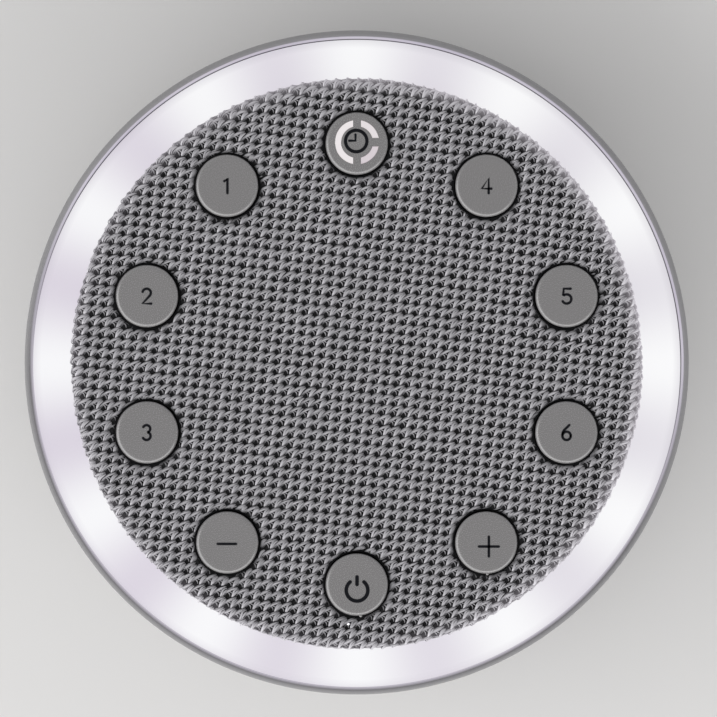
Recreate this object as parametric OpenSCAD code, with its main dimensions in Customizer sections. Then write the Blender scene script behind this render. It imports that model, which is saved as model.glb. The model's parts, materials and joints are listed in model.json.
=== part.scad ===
// Round table-top sound machine: knitted top, ten push buttons on one circle, lit ring, bowed case.
// Millimetres, +Z up, origin on the table under the centre, +Y towards the power socket.

/* [Case] */
// Widest radius of the case
case_r = 63; // [61.5:0.5:66]
// Height of the widest place of the case above the table
case_waist_z = 27; // [25:0.5:30]
// Radius of the outward bow of the case's side
case_bow_r = 84; // [78:1:100]
// Wall of the case
case_wall = 2.4; // [2:0.1:2.8]
// Height of the case's top lip above the table
lip_z = 50.4; // [50:0.1:54]
// Thickness of the lip round the lit ring
lip_t = 0.5; // [0.4:0.05:0.7]
// Height of the case's bottom edge above the table
hem_z = 1.8; // [1.4:0.1:2.2]
// Thickness of the case's bottom edge round the base plate
hem_t = 1.3; // [1:0.1:1.5]

/* [Base] */
// How far the foot ring stands out below the base plate
foot_h = 1.2; // [0.8:0.1:1.4]
// Distance from the circle of base screws in to the foot ring
foot_inset = 4.9; // [4.4:0.1:7]
// Width of the foot ring
foot_w = 8; // [4:0.5:10]
// How deep the foot ring sits in its groove
foot_groove = 0.8; // [0.5:0.1:1]
// Thickness of the base plate
base_t = 2.5; // [2.3:0.1:3]
// Distance from the base plate's edge to its screws
post_inset = 6.6; // [6.2:0.1:7]
// Radius of the screw posts in the case
post_r = 3.25; // [3:0.05:3.6]

/* [Lit ring] */
// Visible width of the lit ring
light_w = 7; // [6.6:0.1:7.6]
// Height of the lit ring's outer edge
light_edge_t = 1.4; // [1.2:0.1:2]
// How much higher the lit ring is at the cloth than at its shoulder
light_rise = 0.7; // [0.4:0.1:1]
// Radius of the lit ring's outer shoulder
light_shoulder_r = 1.6; // [1.2:0.1:2]
// Depth from the lit ring's underside to the deck
light_depth = 6.5; // [6:0.1:7.5]
// Wall of the reflector
reflector_t = 0.8; // [0.6:0.05:1]
// Number of lamps under the lit ring
lamp_count = 12; // [8:1:16]
// Length of a lamp, across the ring's radius
lamp_l = 3.5; // [2.5:0.1:4.5]
// Width of a lamp
lamp_w = 2.8; // [2:0.1:3]
// Height of a lamp
lamp_h = 0.8; // [0.6:0.1:1.2]

/* [Cloth and grille] */
// Thickness of the knitted cloth
cloth_t = 0.9; // [0.6:0.1:1]
// Thickness of the grille plate
grille_t = 1.8; // [1.5:0.1:2.4]
// Radius of the grille plate's top edge
grille_edge_r = 0.6; // [0.4:0.1:1]
// Thickness of the grille's skirt
skirt_t = 1.5; // [1.2:0.1:1.6]
// Radius of a sound hole in the grille
sound_hole_r = 1.2; // [0.8:0.1:1.4]
// Distance between rings of sound holes
sound_hole_pitch = 4; // [3.6:0.1:4.2]
// Width of a snap hook
hook_w = 10; // [6:0.5:14]

/* [Buttons] */
// Distance from the cloth's edge in to the circle that the buttons lie on
button_inset = 11.825; // [11.425:0.1:12.825]
// Radius of a button cap
cap_r = 5.55; // [5:0.05:6]
// How far a cap stands above the cloth
cap_proud = 0.9; // [0.7:0.1:1.5]
// Radius of a cap's top edge
cap_edge_r = 0.55; // [0.3:0.05:0.7]
// Thickness of a cap's top wall
cap_top_t = 1.2; // [1:0.1:1.6]
// Thickness of a cap's side wall
cap_wall = 1; // [0.8:0.05:1.1]
// How far a cap's flange stands out from the cap
flange_out = 0.75; // [0.6:0.05:0.9]
// Thickness of a cap's flange
flange_t = 1; // [0.8:0.1:1.4]
// Length of the stem below a cap's flange
stem_h = 1.1; // [0.9:0.1:2]
// Radius of a cap's stem
stem_r = 2; // [1.5:0.1:2.2]
// Travel of a button
button_travel = 0.5; // [0.2:0.05:0.6]
// Wall of a guide well
well_t = 0.9; // [0.7:0.05:1]
// Inner radius of the timer's light windows
window_in_r = 2.9; // [2.7:0.05:3]
// Outer radius of the timer's light windows
window_out_r = 3.97; // [3.7:0.01:4.05]
// Gap between the timer's left and right windows
window_gap_x = 1.4; // [1:0.1:1.8]
// Gap between the timer's two right windows
window_gap_y = 1.6; // [1.2:0.1:2]

/* [Switches and boards] */
// Side of a switch body
switch_w = 6; // [5:0.1:6]
// Height of a switch body
switch_h = 3.5; // [3:0.1:4]
// Radius of a switch plunger
plunger_r = 1.7; // [1.4:0.05:1.9]
// How far a plunger stands out of its switch
plunger_out = 0.9; // [0.8:0.1:1.4]
// Thickness of every circuit board
board_t = 1.6; // [1.2:0.1:1.8]
// Height of the button board above the deck
board_rise = 1.5; // [1.2:0.1:2.5]
// Height of the main board above the base plate
main_board_rise = 4.3; // [3.5:0.1:4.7]

/* [Deck] */
// Thickness of the deck that carries the boards and the speaker
deck_t = 2; // [1.6:0.1:2.2]
// Height of the speaker's screw bosses on the deck
boss_h = 4; // [3.5:0.1:4.4]

/* [Speaker] */
// Distance from the circle of buttons in to the circle of speaker screws
speaker_inset = 8; // [7.8:0.1:8.6]
// Distance from the circle of speaker screws in to the flange's edge
flange_inset = 2; // [1.6:0.1:2.8]
// Thickness of the speaker's flange
speaker_flange_t = 1.2; // [1:0.1:1.5]
// Thickness of the gasket
gasket_t = 0.8; // [0.6:0.05:1.2]
// Distance from the main board's top to the speaker
speaker_clear = 1.7; // [1.3:0.1:2.1]
// Wall of the basket
basket_t = 1.2; // [1:0.1:1.4]
// Radius of the magnet, as a share of the flange's
magnet_share = 0.55; // [0.47:0.01:0.6]
// Height of the magnet
magnet_h = 8; // [6:0.1:8.6]
// Thickness of the speaker's steel plates
plate_t = 2.5; // [2:0.1:2.7]
// Outer radius of the voice coil
coil_r = 6.85; // [6.7:0.05:7]
// Thickness of the voice coil
coil_t = 0.4; // [0.3:0.05:0.5]
// Width of the surround, from the cone's edge to the flange's
surround_w = 7.5; // [7.2:0.1:8]
// Thickness of the cone
cone_t = 0.5; // [0.3:0.05:0.8]
// Travel of the cone each way
cone_travel = 1; // [0.5:0.1:1.2]

/* [Power socket] */
// Width of the power socket
socket_w = 8.94; // [8.5:0.02:9.2]
// Height of the power socket
socket_h = 3.26; // [3:0.02:3.4]
// Length of the power socket
socket_l = 7.35; // [6.5:0.05:9]
// How far the socket's mouth lies below the case's surface
socket_sunk = 1.5; // [1.2:0.1:1.7]

/* [Hidden] */
$fn = 72;
bow_fn = 256;
eps = 0.01;
part_gap = 0.3;      // between pieces that move past each other
fit_gap = 0.1;       // between pieces that are put together
thread_gap = 0.05;   // between a screw and its pilot hole
cut_over = 1;        // how far a cutter passes the face that it cuts

// Screws: shank radius, length, head radius, head height
base_screw = [1.3, 10, 2.4, 1.2];
deck_screw = [1.3, 8, 2.4, 1.1];
speaker_screw = [1.3, 6.5, 2.4, 1.1];
board_screw = [1, 5, 1.9, 1.2];
recess_d = 0.7;      // depth of a screw's cross recess
recess_w = 0.5;      // width of a bar of the cross

function case_at(z) = case_r - case_bow_r + sqrt(pow(case_bow_r, 2) - pow(z - case_waist_z, 2));
function inside_at(z) =
    case_r - case_bow_r + sqrt(pow(case_bow_r - case_wall, 2) - pow(z - case_waist_z, 2));

// Base, from the table up
base_z = foot_h;
base_top = base_z + base_t;
base_r = case_at(hem_z) - hem_t - part_gap;
hem_chamfer = 0.8;
base_ledge_w = 1.2;
base_ledge_t = 1.5;
post_ring_r = base_r - post_inset;
foot_r = post_ring_r - foot_inset;
post_angles = [45, 135, 225, 315];
post_pilot = 10;
rib_t = 2;
counterbore_gap = 0.4;
counterbore_d = base_screw[3] + 0.1;

// Main board
board_z = base_top + main_board_rise;
board_top = board_z + board_t;
main_board_gap = 1.2;
main_board_r = post_ring_r - post_r - main_board_gap;
main_screw_inset = 5;
main_screw_r = main_board_r - main_screw_inset;
main_screw_angles = [22, 158, 202, 338];
standoff_r = 2.8;

// Power socket
socket_z = board_top + socket_h / 2;
socket_y = case_at(socket_z) - socket_sunk;
tongue_w = 12;
tongue_y = inside_at(board_z) - 0.9;
plug_w = 13;
plug_h = 7.4;
plug_sunk = socket_sunk - 0.2;
socket_lining = 0.4;
contact_w = 6.2;
contact_h = 0.7;

// Top, from the lip down to the deck and back up to the caps
light_seat_z = lip_z - light_edge_t;
deck_top = light_seat_z - light_depth;
deck_z = deck_top - deck_t;
light_r = case_at(lip_z) - lip_t - part_gap + fit_gap / 2;
light_in_r = light_r - light_w + fit_gap;
shoulder_drop = 0.4;   // the shoulder's centre below the lip
ledge_r = light_r - 1.6;
ledge_t = 1.5;
cloth_r = light_in_r - 2 * fit_gap;
grille_r = cloth_r - cloth_t;
skirt_in_r = grille_r - skirt_t;
button_ring_r = cloth_r - button_inset;
ear_ring_r = button_ring_r - speaker_inset;
flange_r = ear_ring_r - flange_inset;
cone_r = flange_r - surround_w;
deck_r = ledge_r - part_gap;
lamp_board_in_r = light_in_r + 0.2;
lamp_board_z = deck_top;
lamp_board_top = lamp_board_z + board_t;
lamp_ring_r = (lamp_board_in_r + deck_r) / 2;
lamp_window_gap = 0.3;

// Button board and switches
boss_r = 2.9;
board_clear = 0.5;   // from the speaker's bosses to the button board
button_board_z = deck_top + board_rise;
button_board_top = button_board_z + board_t;
button_board_r = skirt_in_r - part_gap;
button_board_in_r = ear_ring_r + boss_r + board_clear;
button_angles = [for (i = [0:9]) 90 - 36 * i];
button_screw_angles = [for (i = [0:4]) 72 * i];
button_standoff_r = 3;
switch_top = button_board_top + switch_h;
plunger_top = switch_top + plunger_out;
plunger_gap = 0.1;
plunger_deep = 1.5;
switch_leg_w = 0.7;
switch_leg_t = 0.3;
switch_leg_l = 1;

// Caps and grille
flange_z = plunger_top + stem_h;
flange_top = flange_z + flange_t;
grille_z = flange_top + part_gap;
grille_top = grille_z + grille_t;
cloth_top = grille_top + cloth_t;
cap_top = cloth_top + cap_proud;
cap_hole_r = cap_r + part_gap;
cloth_hole_r = cap_hole_r + fit_gap;
cap_flange_r = cap_r + flange_out;
well_r = cap_flange_r + part_gap;
well_h = grille_z - plunger_top;
key_w = 1.6;
key_out = 0.7;
key_gap = 0.2;
cloth_hem_z = lamp_board_top;
status_side = 1.33;
status_gap = 1.28;   // from the power button's hole
status_at = [-status_side, -button_ring_r - cap_hole_r - status_gap];
status_hole_r = 0.6;
chip_lamp = [1.6, 0.8, 0.6];
timer_lamp_x = switch_w / 2 + 1.4;
timer_lamp_y = 1.6;
timer_lamps = [[-timer_lamp_x, 0], [timer_lamp_x, timer_lamp_y], [timer_lamp_x, -timer_lamp_y]];
window_gap = 0.05;
guide_t = 1.2;

sound_field_past = 2;   // how far the sound holes reach past the cone

// Deck screws lie sunk in the deck
deck_sink = deck_screw[3] + 0.05;
boss_roof = 0.6;

// Snap hooks
hook_angles = [0, 90, 180, 270];
hook_t = 1.1;
hook_barb = 0.7;
hook_barb_h = 0.9;

// Speaker, from the deck down
flange_seat_w = 3;
deck_hole_r = flange_r - flange_seat_w;
gasket_z = deck_z - gasket_t;
flange_low = gasket_z - speaker_flange_t;
flange_w = 4.4;
flange_in_r = flange_r - flange_w;
ear_r = 3.4;
ear_angles = post_angles;
basket_depth = flange_low - board_top - speaker_clear - basket_t - 2 * plate_t - magnet_h;
basket_floor_z = flange_low - basket_depth;
basket_floor_share = 0.567;
basket_floor_r = basket_floor_share * flange_r;
basket_window_w = 16;
magnet_r = magnet_share * flange_r;
top_plate_z = basket_floor_z - basket_t - plate_t;
magnet_z = top_plate_z - magnet_h;
yoke_z = magnet_z - plate_t;
plate_inset = 1;
plate_r = magnet_r - plate_inset;
coil_gap = 0.25;
gap_r = coil_r + coil_gap;
pole_r = coil_r - coil_t - coil_gap;
magnet_hole_gap = 1.4;
magnet_in_r = gap_r + magnet_hole_gap;
spider_ledge_h = 1.5;
spider_ledge_w = 2;
spider_z = basket_floor_z + spider_ledge_h;
spider_t = 0.4;
spider_wave = 0.45;
spider_waves = 4;
rim_top = gasket_z;
rim_w = 1.5;
neck_rise = 3;
cone_neck_z = spider_z + neck_rise;
coil_past = 0.5;     // how far the coil stays in the gap at the cone's top
coil_low = top_plate_z - cone_travel - coil_past;
coil_out = 0.8;
coil_top = cone_neck_z + coil_out;
dust_cap_over = 1.6;
dust_cap_r = coil_r + dust_cap_over;
dust_cap_h = 2.6;
surround_t = 0.4;
roll_r = (flange_in_r - cone_r) / 2 + 0.1;
roll_at = (flange_in_r + cone_r) / 2;
landing_w = 1.2;
terminal_w = 12;
terminal_t = 1.2;
terminal_h = 7;
lug = [2, 0.6, 6.5];
lug_at = 3.5;

// Parts on the main board: places as shares of its radius
chip_places = [[0.56, -0.3], [0.47, -0.62], [-0.47, 0.6], [0.26, 0.71]];
chip_sizes = [[10, 10, 1.4], [6, 5, 1.2], [8, 6, 1.5], [4, 4, 1]];
can_places = [[-0.56, -0.47], [-0.39, -0.65], [0.43, 0.65]];
can_r = 3.2;
can_h = 7.5;

// Connectors and leads
header = [7.5, 5, 3.5];
header_pitch = 2.5;
speaker_header_out = 6;
speaker_header_r = flange_r + speaker_header_out;
lamp_header_angle = 12;
lamp_header_inset = 8.5;
lamp_header_r = main_board_r - lamp_header_inset;
ribbon_socket = [3.6, 11, 3];
ribbon_inset = 5.9;
ribbon_r = button_board_r - ribbon_inset;
ribbon_w = 8;
ribbon_t = 0.5;
ribbon_bow = 2;
lead_r = 0.6;
lead_steps = 5;
lamp_lead_hole_r = 2;
lamp_lead_r = lamp_ring_r;

// ---- Shared shapes ----

module ring(r_out, r_in, h) {
    difference() {
        cylinder(r = r_out, h = h);
        translate([0, 0, -cut_over]) cylinder(r = r_in, h = h + 2 * cut_over);
    }
}

module around(r, angles) {
    for (a = angles) rotate(a) translate([r, 0, 0]) children();
}

module block(size) {
    translate([-size[0] / 2, -size[1] / 2, 0]) cube(size);
}

// A pan-head screw that stands on its head's seat, with its shank down
module screw(s) {
    shank_r = s[0];
    difference() {
        union() {
            translate([0, 0, -s[1]]) cylinder(r = shank_r, h = s[1] + eps);
            cylinder(r = s[2], h = s[3]);
        }
        for (a = [0, 90])
            rotate(a) translate([0, 0, s[3] - recess_d]) block([s[2] * 1.1, recess_w, recess_d + cut_over]);
    }
}

module pilot(s, depth) {
    translate([0, 0, -depth]) cylinder(r = s[0] + thread_gap, h = depth + cut_over);
}

// Outline of a disc with a rounded top edge, from the axis out
module disc_outline(r, low, high, edge) {
    translate([0, low]) square([r - edge, high - low]);
    translate([0, low]) square([r, high - edge - low]);
    translate([r - edge, high - edge]) circle(r = edge, $fn = 48);
}

module slot_outline(w, h) {
    square([w - h, h], center = true);
    for (s = [-1, 1]) translate([s * (w - h) / 2, 0]) circle(d = h);
}

// A slot-shaped bar along +Y from y_low to y_high at height z
module slot_bar(w, h, y_low, y_high, z) {
    translate([0, y_high, z]) rotate([90, 0, 0]) linear_extrude(y_high - y_low) slot_outline(w, h);
}

// A round lead swept along points: 8 sides, a ring at each step of a smooth curve
function smooth(p, i, t) =
    let (a = p[max(i - 1, 0)], b = p[i], c = p[i + 1], d = p[min(i + 2, len(p) - 1)])
    0.5 * (2 * b + (c - a) * t + (2 * a - 5 * b + 4 * c - d) * t * t + (3 * b - a - 3 * c + d) * t * t * t);
function route(p) =
    concat([for (i = [0:len(p) - 2], k = [0:lead_steps - 1]) smooth(p, i, k / lead_steps)], [p[len(p) - 1]]);
function unit(v) = v / norm(v);
// Direction of the lead at ring i of q; its two ends lie square to the first and last stretch of p
function along(p, q, i) =
    i == 0 ? unit(p[1] - p[0])
    : i == len(q) - 1 ? unit(p[len(p) - 1] - p[len(p) - 2])
    : unit(q[i + 1] - q[i - 1]);

module lead(points, r) {
    q = route(points);
    sides = 8;
    verts = [
        for (i = [0:len(q) - 1])
            let (t = along(points, q, i), u = unit(cross(t, [0, 1, 0.02])), v = cross(t, u))
            for (k = [0:sides - 1]) q[i] + r * (cos(360 * k / sides) * u + sin(360 * k / sides) * v)
    ];
    walls = [
        for (i = [0:len(q) - 2], k = [0:sides - 1])
            let (n = (k + 1) % sides)
            [i * sides + k, (i + 1) * sides + k, (i + 1) * sides + n, i * sides + n]
    ];
    caps = [
        [for (k = [0:sides - 1]) k],
        [for (k = [sides - 1:-1:0]) (len(q) - 1) * sides + k]
    ];
    polyhedron(points = verts, faces = concat(walls, caps));
}

// ---- Case ----

// Everything inside the case's outer surface, between two heights
module case_fill(low, high) {
    rotate_extrude($fn = 144) intersection() {
        translate([case_r - case_bow_r, case_waist_z]) circle(r = case_bow_r, $fn = bow_fn);
        translate([0, low]) square([case_r + cut_over, high - low]);
    }
}

module case_shell() {
    rotate_extrude($fn = 144) {
        difference() {
            intersection() {
                translate([case_r - case_bow_r, case_waist_z]) circle(r = case_bow_r, $fn = bow_fn);
                polygon([
                    [case_r - case_bow_r / 4, hem_z], [case_at(hem_z) - hem_chamfer, hem_z],
                    [case_r + cut_over, hem_z + case_r + cut_over - case_at(hem_z) + hem_chamfer],
                    [case_r + cut_over, lip_z], [case_r - case_bow_r / 4, lip_z]
                ]);
            }
            translate([case_r - case_bow_r, case_waist_z]) circle(r = case_bow_r - case_wall, $fn = bow_fn);
            translate([0, light_seat_z]) square([light_r + fit_gap, lip_z]);
            translate([0, 0]) square([base_r + part_gap, base_top]);
        }
        // Ledge for the lit ring
        translate([ledge_r, light_seat_z - ledge_t]) square([case_at(lip_z) - lip_t - ledge_r, ledge_t]);
        // Ledge for the base plate
        translate([base_r - base_ledge_w, base_top])
            square([inside_at(base_top) + case_wall / 2 - base_r + base_ledge_w, base_ledge_t]);
    }
}

module housing() {
    color("#8d8c8e") difference() {
        union() {
            case_shell();
            intersection() {
                case_fill(base_top, deck_z);
                around(post_ring_r, post_angles) {
                    translate([0, 0, base_top]) cylinder(r = post_r, h = deck_z - base_top);
                    translate([post_r / 2, -rib_t / 2, base_top])
                        cube([case_r - post_ring_r, rib_t, deck_z - base_top]);
                }
            }
        }
        around(post_ring_r, post_angles) {
            translate([0, 0, base_top + post_pilot]) pilot(base_screw, post_pilot + cut_over);
            translate([0, 0, deck_z]) pilot(deck_screw, post_pilot);
        }
        slot_bar(socket_w + 2 * part_gap, socket_h + 2 * part_gap, post_ring_r, case_r + cut_over, socket_z);
        slot_bar(plug_w, plug_h, case_at(socket_z) - plug_sunk, case_r + cut_over, socket_z);
    }
}

module foot_ring() {
    color("#2b2b2c") ring(foot_r, foot_r - foot_w, foot_h + foot_groove);
}

module base_plate() {
    color("#7d7c7e") difference() {
        union() {
            translate([0, 0, base_z]) cylinder(r = base_r, h = base_t);
            around(main_screw_r, main_screw_angles)
                translate([0, 0, base_top - eps]) cylinder(r = standoff_r, h = main_board_rise + eps);
        }
        translate([0, 0, base_z - cut_over])
            ring(foot_r + fit_gap, foot_r - foot_w - fit_gap, foot_groove + cut_over);
        around(post_ring_r, post_angles) {
            translate([0, 0, base_z - cut_over])
                cylinder(r = base_screw[2] + counterbore_gap, h = counterbore_d + cut_over);
            translate([0, 0, base_z]) cylinder(r = base_screw[0] + fit_gap, h = base_t + cut_over);
        }
        around(main_screw_r, main_screw_angles)
            translate([0, 0, board_z]) pilot(board_screw, main_board_rise);
    }
}

module base_screws() {
    color("#b9bbbe") around(post_ring_r, post_angles)
        translate([0, 0, base_z + counterbore_d]) rotate([180, 0, 0]) screw(base_screw);
}

// ---- Lit ring ----

module light_ring() {
    centre = [light_r - light_shoulder_r, lip_z - shoulder_drop];
    run = centre[0] - light_in_r;
    lean = atan2(light_rise, run);
    shoulder = centre + light_shoulder_r * [sin(lean), cos(lean)];
    color("#f4f0f6") rotate_extrude($fn = 144) {
        intersection() {
            union() {
                translate(centre) circle(r = light_shoulder_r, $fn = 64);
                polygon([
                    [light_in_r, light_seat_z], [centre[0], light_seat_z], centre, shoulder,
                    [light_in_r, shoulder[1] + light_rise]
                ]);
                translate([centre[0] - eps, light_seat_z])
                    square([light_shoulder_r + eps, centre[1] - light_seat_z]);
            }
            translate([light_in_r, light_seat_z]) square([light_w, light_w]);
        }
    }
}

module light_reflector() {
    color("#ececea") difference() {
        union() {
            translate([0, 0, lamp_board_top]) ring(deck_r, light_in_r, reflector_t);
            translate([0, 0, lamp_board_top]) ring(deck_r, deck_r - reflector_t, light_seat_z - lamp_board_top);
            translate([0, 0, lamp_board_top])
                ring(light_in_r + reflector_t, light_in_r, light_seat_z - lamp_board_top);
        }
        around(lamp_ring_r, [for (i = [0:lamp_count - 1]) 360 * i / lamp_count])
            translate([0, 0, lamp_board_top - cut_over / 2])
                block([lamp_w + lamp_window_gap, lamp_l + lamp_window_gap, reflector_t + cut_over]);
    }
}

module light_ring_board() {
    color("#e8e8e2") translate([0, 0, lamp_board_z]) ring(deck_r, lamp_board_in_r, board_t);
}

module light_ring_leds() {
    color("#fdf8d0") around(lamp_ring_r, [for (i = [0:lamp_count - 1]) 360 * i / lamp_count])
        translate([0, 0, lamp_board_top]) block([lamp_w, lamp_l, lamp_h]);
}

// ---- Deck ----

module top_frame() {
    color("#d7d7d5") difference() {
        union() {
            translate([0, 0, deck_z]) ring(deck_r, deck_hole_r, deck_t);
            around(button_ring_r, button_screw_angles)
                translate([0, 0, deck_top - eps]) cylinder(r = button_standoff_r, h = board_rise + eps);
            around(ear_ring_r, ear_angles)
                translate([0, 0, deck_top - eps]) cylinder(r = boss_r, h = boss_h + eps);
        }
        around(button_ring_r, button_screw_angles)
            translate([0, 0, button_board_z]) pilot(board_screw, board_rise + deck_t + cut_over);
        around(ear_ring_r, ear_angles)
            translate([0, 0, deck_z - cut_over])
                cylinder(r = deck_screw[0] + thread_gap, h = deck_t + boss_h - boss_roof + cut_over);
        around(post_ring_r, post_angles)
            translate([0, 0, deck_z - cut_over]) cylinder(r = deck_screw[0] + fit_gap, h = deck_t + 2 * cut_over);
        around(post_ring_r, post_angles)
            translate([0, 0, deck_top - deck_sink]) cylinder(r = deck_screw[2] + fit_gap, h = deck_t);
        around(0, hook_angles)
            translate([grille_r - hook_t - hook_barb - part_gap, -hook_w / 2 - part_gap, deck_z - cut_over])
                cube([hook_t + hook_barb + 2 * part_gap, hook_w + 2 * part_gap, deck_t + 2 * cut_over]);
        translate([-ribbon_r, 0, deck_z - cut_over])
            block([ribbon_socket[0] + 1, ribbon_socket[1] + 1, deck_t + 2 * cut_over]);
        rotate(lamp_header_angle) translate([lamp_lead_r, 0, deck_z - cut_over])
            cylinder(r = lamp_lead_hole_r, h = deck_t + 2 * cut_over);
    }
}

module top_frame_screws() {
    color("#b9bbbe") around(post_ring_r, post_angles)
        translate([0, 0, deck_top - deck_sink]) screw(deck_screw);
}

// ---- Grille and cloth ----

module wells() {
    around(button_ring_r, button_angles)
        translate([0, 0, plunger_top]) cylinder(r = well_r + well_t, h = well_h + eps);
}

module hooks() {
    around(0, hook_angles) {
        translate([grille_r - hook_t, -hook_w / 2, deck_z - fit_gap - hook_barb_h])
            cube([hook_t - eps, hook_w, deck_top + hook_barb_h + fit_gap + eps - deck_z]);
        translate([grille_r - hook_t - hook_barb, -hook_w / 2, deck_z - fit_gap - hook_barb_h])
            cube([hook_barb + eps, hook_w, hook_barb_h]);
    }
}

module grille_plate() {
    color("#3a3a3c") difference() {
        union() {
            difference() {
                rotate_extrude($fn = 144) disc_outline(grille_r, deck_top, grille_top, grille_edge_r);
                translate([0, 0, deck_top - cut_over]) cylinder(r = skirt_in_r, h = grille_z - deck_top + cut_over);
            }
            wells();
            hooks();
        }
        around(button_ring_r, button_angles) {
            translate([0, 0, plunger_top - cut_over]) cylinder(r = well_r, h = well_h + cut_over);
            translate([0, 0, grille_z - cut_over]) cylinder(r = cap_hole_r, h = grille_t + 2 * cut_over);
            translate([-well_r - well_t - cut_over, -key_w / 2 - key_gap, plunger_top - cut_over])
                cube([well_r + well_t, key_w + 2 * key_gap, well_h + cut_over]);
        }
        translate([status_at[0], status_at[1], plunger_top - cut_over])
            cylinder(r = status_hole_r, h = grille_top - plunger_top + 2 * cut_over, $fn = 24);
        translate([0, 0, grille_z - cut_over]) {
            cylinder(r = sound_hole_r, h = grille_t + 2 * cut_over, $fn = 24);
            for (k = [1:floor((cone_r + sound_field_past) / sound_hole_pitch)])
                around(k * sound_hole_pitch, [for (i = [0:6 * k - 1]) 60 * i / k])
                    cylinder(r = sound_hole_r, h = grille_t + 2 * cut_over, $fn = 24);
        }
    }
}

module cloth_cover() {
    color("#8a8988") difference() {
        rotate_extrude($fn = 144) difference() {
            disc_outline(cloth_r, cloth_hem_z, cloth_top, grille_edge_r + cloth_t);
            disc_outline(grille_r, cloth_hem_z - cut_over, grille_top, grille_edge_r);
        }
        around(button_ring_r, button_angles)
            translate([0, 0, grille_z]) cylinder(r = cloth_hole_r, h = grille_t + cloth_t + cut_over);
    }
}

// ---- Buttons ----

// A cap on the button circle; its key points to the centre
module cap(angle) {
    rotate(angle) translate([button_ring_r, 0, 0]) {
        rotate_extrude() {
            difference() {
                union() {
                    disc_outline(cap_r, flange_z, cap_top, cap_edge_r);
                    translate([0, flange_z]) square([cap_flange_r, flange_t]);
                }
                translate([stem_r, flange_z - cut_over])
                    square([cap_r - cap_wall - stem_r, cap_top - cap_top_t - flange_z + cut_over]);
            }
            translate([0, plunger_top]) square([stem_r, stem_h + eps]);
        }
        translate([-cap_flange_r - key_out, -key_w / 2, flange_z])
            cube([key_out + flange_out, key_w, flange_t]);
    }
}

// The three arc windows, grown or shrunk by a gap
module windows(gap, low, high) {
    translate([0, button_ring_r, low]) linear_extrude(high - low) difference() {
        circle(r = window_out_r + gap);
        circle(r = window_in_r - gap);
        square([window_gap_x - 2 * gap, 3 * window_out_r], center = true);
        translate([0, gap - window_gap_y / 2]) square([2 * window_out_r, window_gap_y - 2 * gap]);
    }
}

module timer_button() {
    color("#7b7c7c") difference() {
        cap(90);
        windows(window_gap, cap_top - cap_top_t - cut_over, cap_top + cut_over);
    }
}

module timer_light_guide() {
    guide_top = cap_top - cap_top_t;
    color("#f6f6fa") {
        windows(0, guide_top - eps, cap_top - window_gap);
        translate([0, button_ring_r, guide_top - guide_t]) ring(window_out_r, window_in_r, guide_t);
    }
}

module sound_button_1() { color("#7b7c7c") cap(126); }
module sound_button_2() { color("#7b7c7c") cap(162); }
module sound_button_3() { color("#7b7c7c") cap(198); }
module sound_button_4() { color("#7b7c7c") cap(54); }
module sound_button_5() { color("#7b7c7c") cap(18); }
module sound_button_6() { color("#7b7c7c") cap(-18); }
module volume_up_button() { color("#7b7c7c") cap(-54); }
module volume_down_button() { color("#7b7c7c") cap(-126); }
module power_button() { color("#7b7c7c") cap(-90); }

module plunger(angle) {
    color("#202022") rotate(angle) translate([button_ring_r, 0, switch_top - plunger_deep])
        cylinder(r = plunger_r, h = plunger_deep + plunger_out);
}

module timer_plunger() { plunger(90); }
module sound_plunger_1() { plunger(126); }
module sound_plunger_2() { plunger(162); }
module sound_plunger_3() { plunger(198); }
module sound_plunger_4() { plunger(54); }
module sound_plunger_5() { plunger(18); }
module sound_plunger_6() { plunger(-18); }
module volume_up_plunger() { plunger(-54); }
module volume_down_plunger() { plunger(-126); }
module power_plunger() { plunger(-90); }

// ---- Button board ----

module button_board() {
    color("#2f6b46") difference() {
        translate([0, 0, button_board_z]) ring(button_board_r, button_board_in_r, board_t);
        around(button_ring_r, button_screw_angles)
            translate([0, 0, button_board_z - cut_over])
                cylinder(r = board_screw[0] + fit_gap, h = board_t + 2 * cut_over);
    }
}

module button_switches() {
    bore_d = plunger_deep + button_travel + plunger_gap;
    color("#1c1c1e") around(button_ring_r, button_angles) difference() {
        translate([0, 0, button_board_top]) {
            block([switch_w, switch_w, switch_h]);
            for (y = [-1, 1])
                translate([0, y * switch_w / 4, 0])
                    block([switch_w + 2 * switch_leg_l, switch_leg_w, switch_leg_t]);
        }
        translate([0, 0, switch_top - bore_d]) cylinder(r = plunger_r + plunger_gap, h = bore_d + cut_over);
    }
}

module button_board_screws() {
    color("#b9bbbe") around(button_ring_r, button_screw_angles)
        translate([0, 0, button_board_top]) screw(board_screw);
}

module timer_leds() {
    color("#fdf8d0") for (p = timer_lamps)
        translate([p[0], button_ring_r + p[1], button_board_top])
            block([chip_lamp[1], chip_lamp[0], chip_lamp[2]]);
}

module status_led() {
    color("#fdf8d0") translate([status_at[0], status_at[1], button_board_top]) block(chip_lamp);
}

// ---- Speaker ----

module speaker_outline(r) {
    circle(r = r);
    for (a = ear_angles) rotate(a) translate([ear_ring_r, 0]) circle(r = ear_r);
    for (a = ear_angles) rotate(a) translate([0, -ear_r]) square([ear_ring_r, 2 * ear_r]);
}

module ear_holes(low, high) {
    around(ear_ring_r, ear_angles)
        translate([0, 0, low]) cylinder(r = deck_screw[0] + fit_gap, h = high - low);
}

module speaker_gasket() {
    color("#4a4a4c") difference() {
        translate([0, 0, gasket_z]) linear_extrude(gasket_t) difference() {
            speaker_outline(flange_r);
            circle(r = deck_hole_r + fit_gap);
        }
        ear_holes(gasket_z - cut_over, deck_z + cut_over);
    }
}

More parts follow.
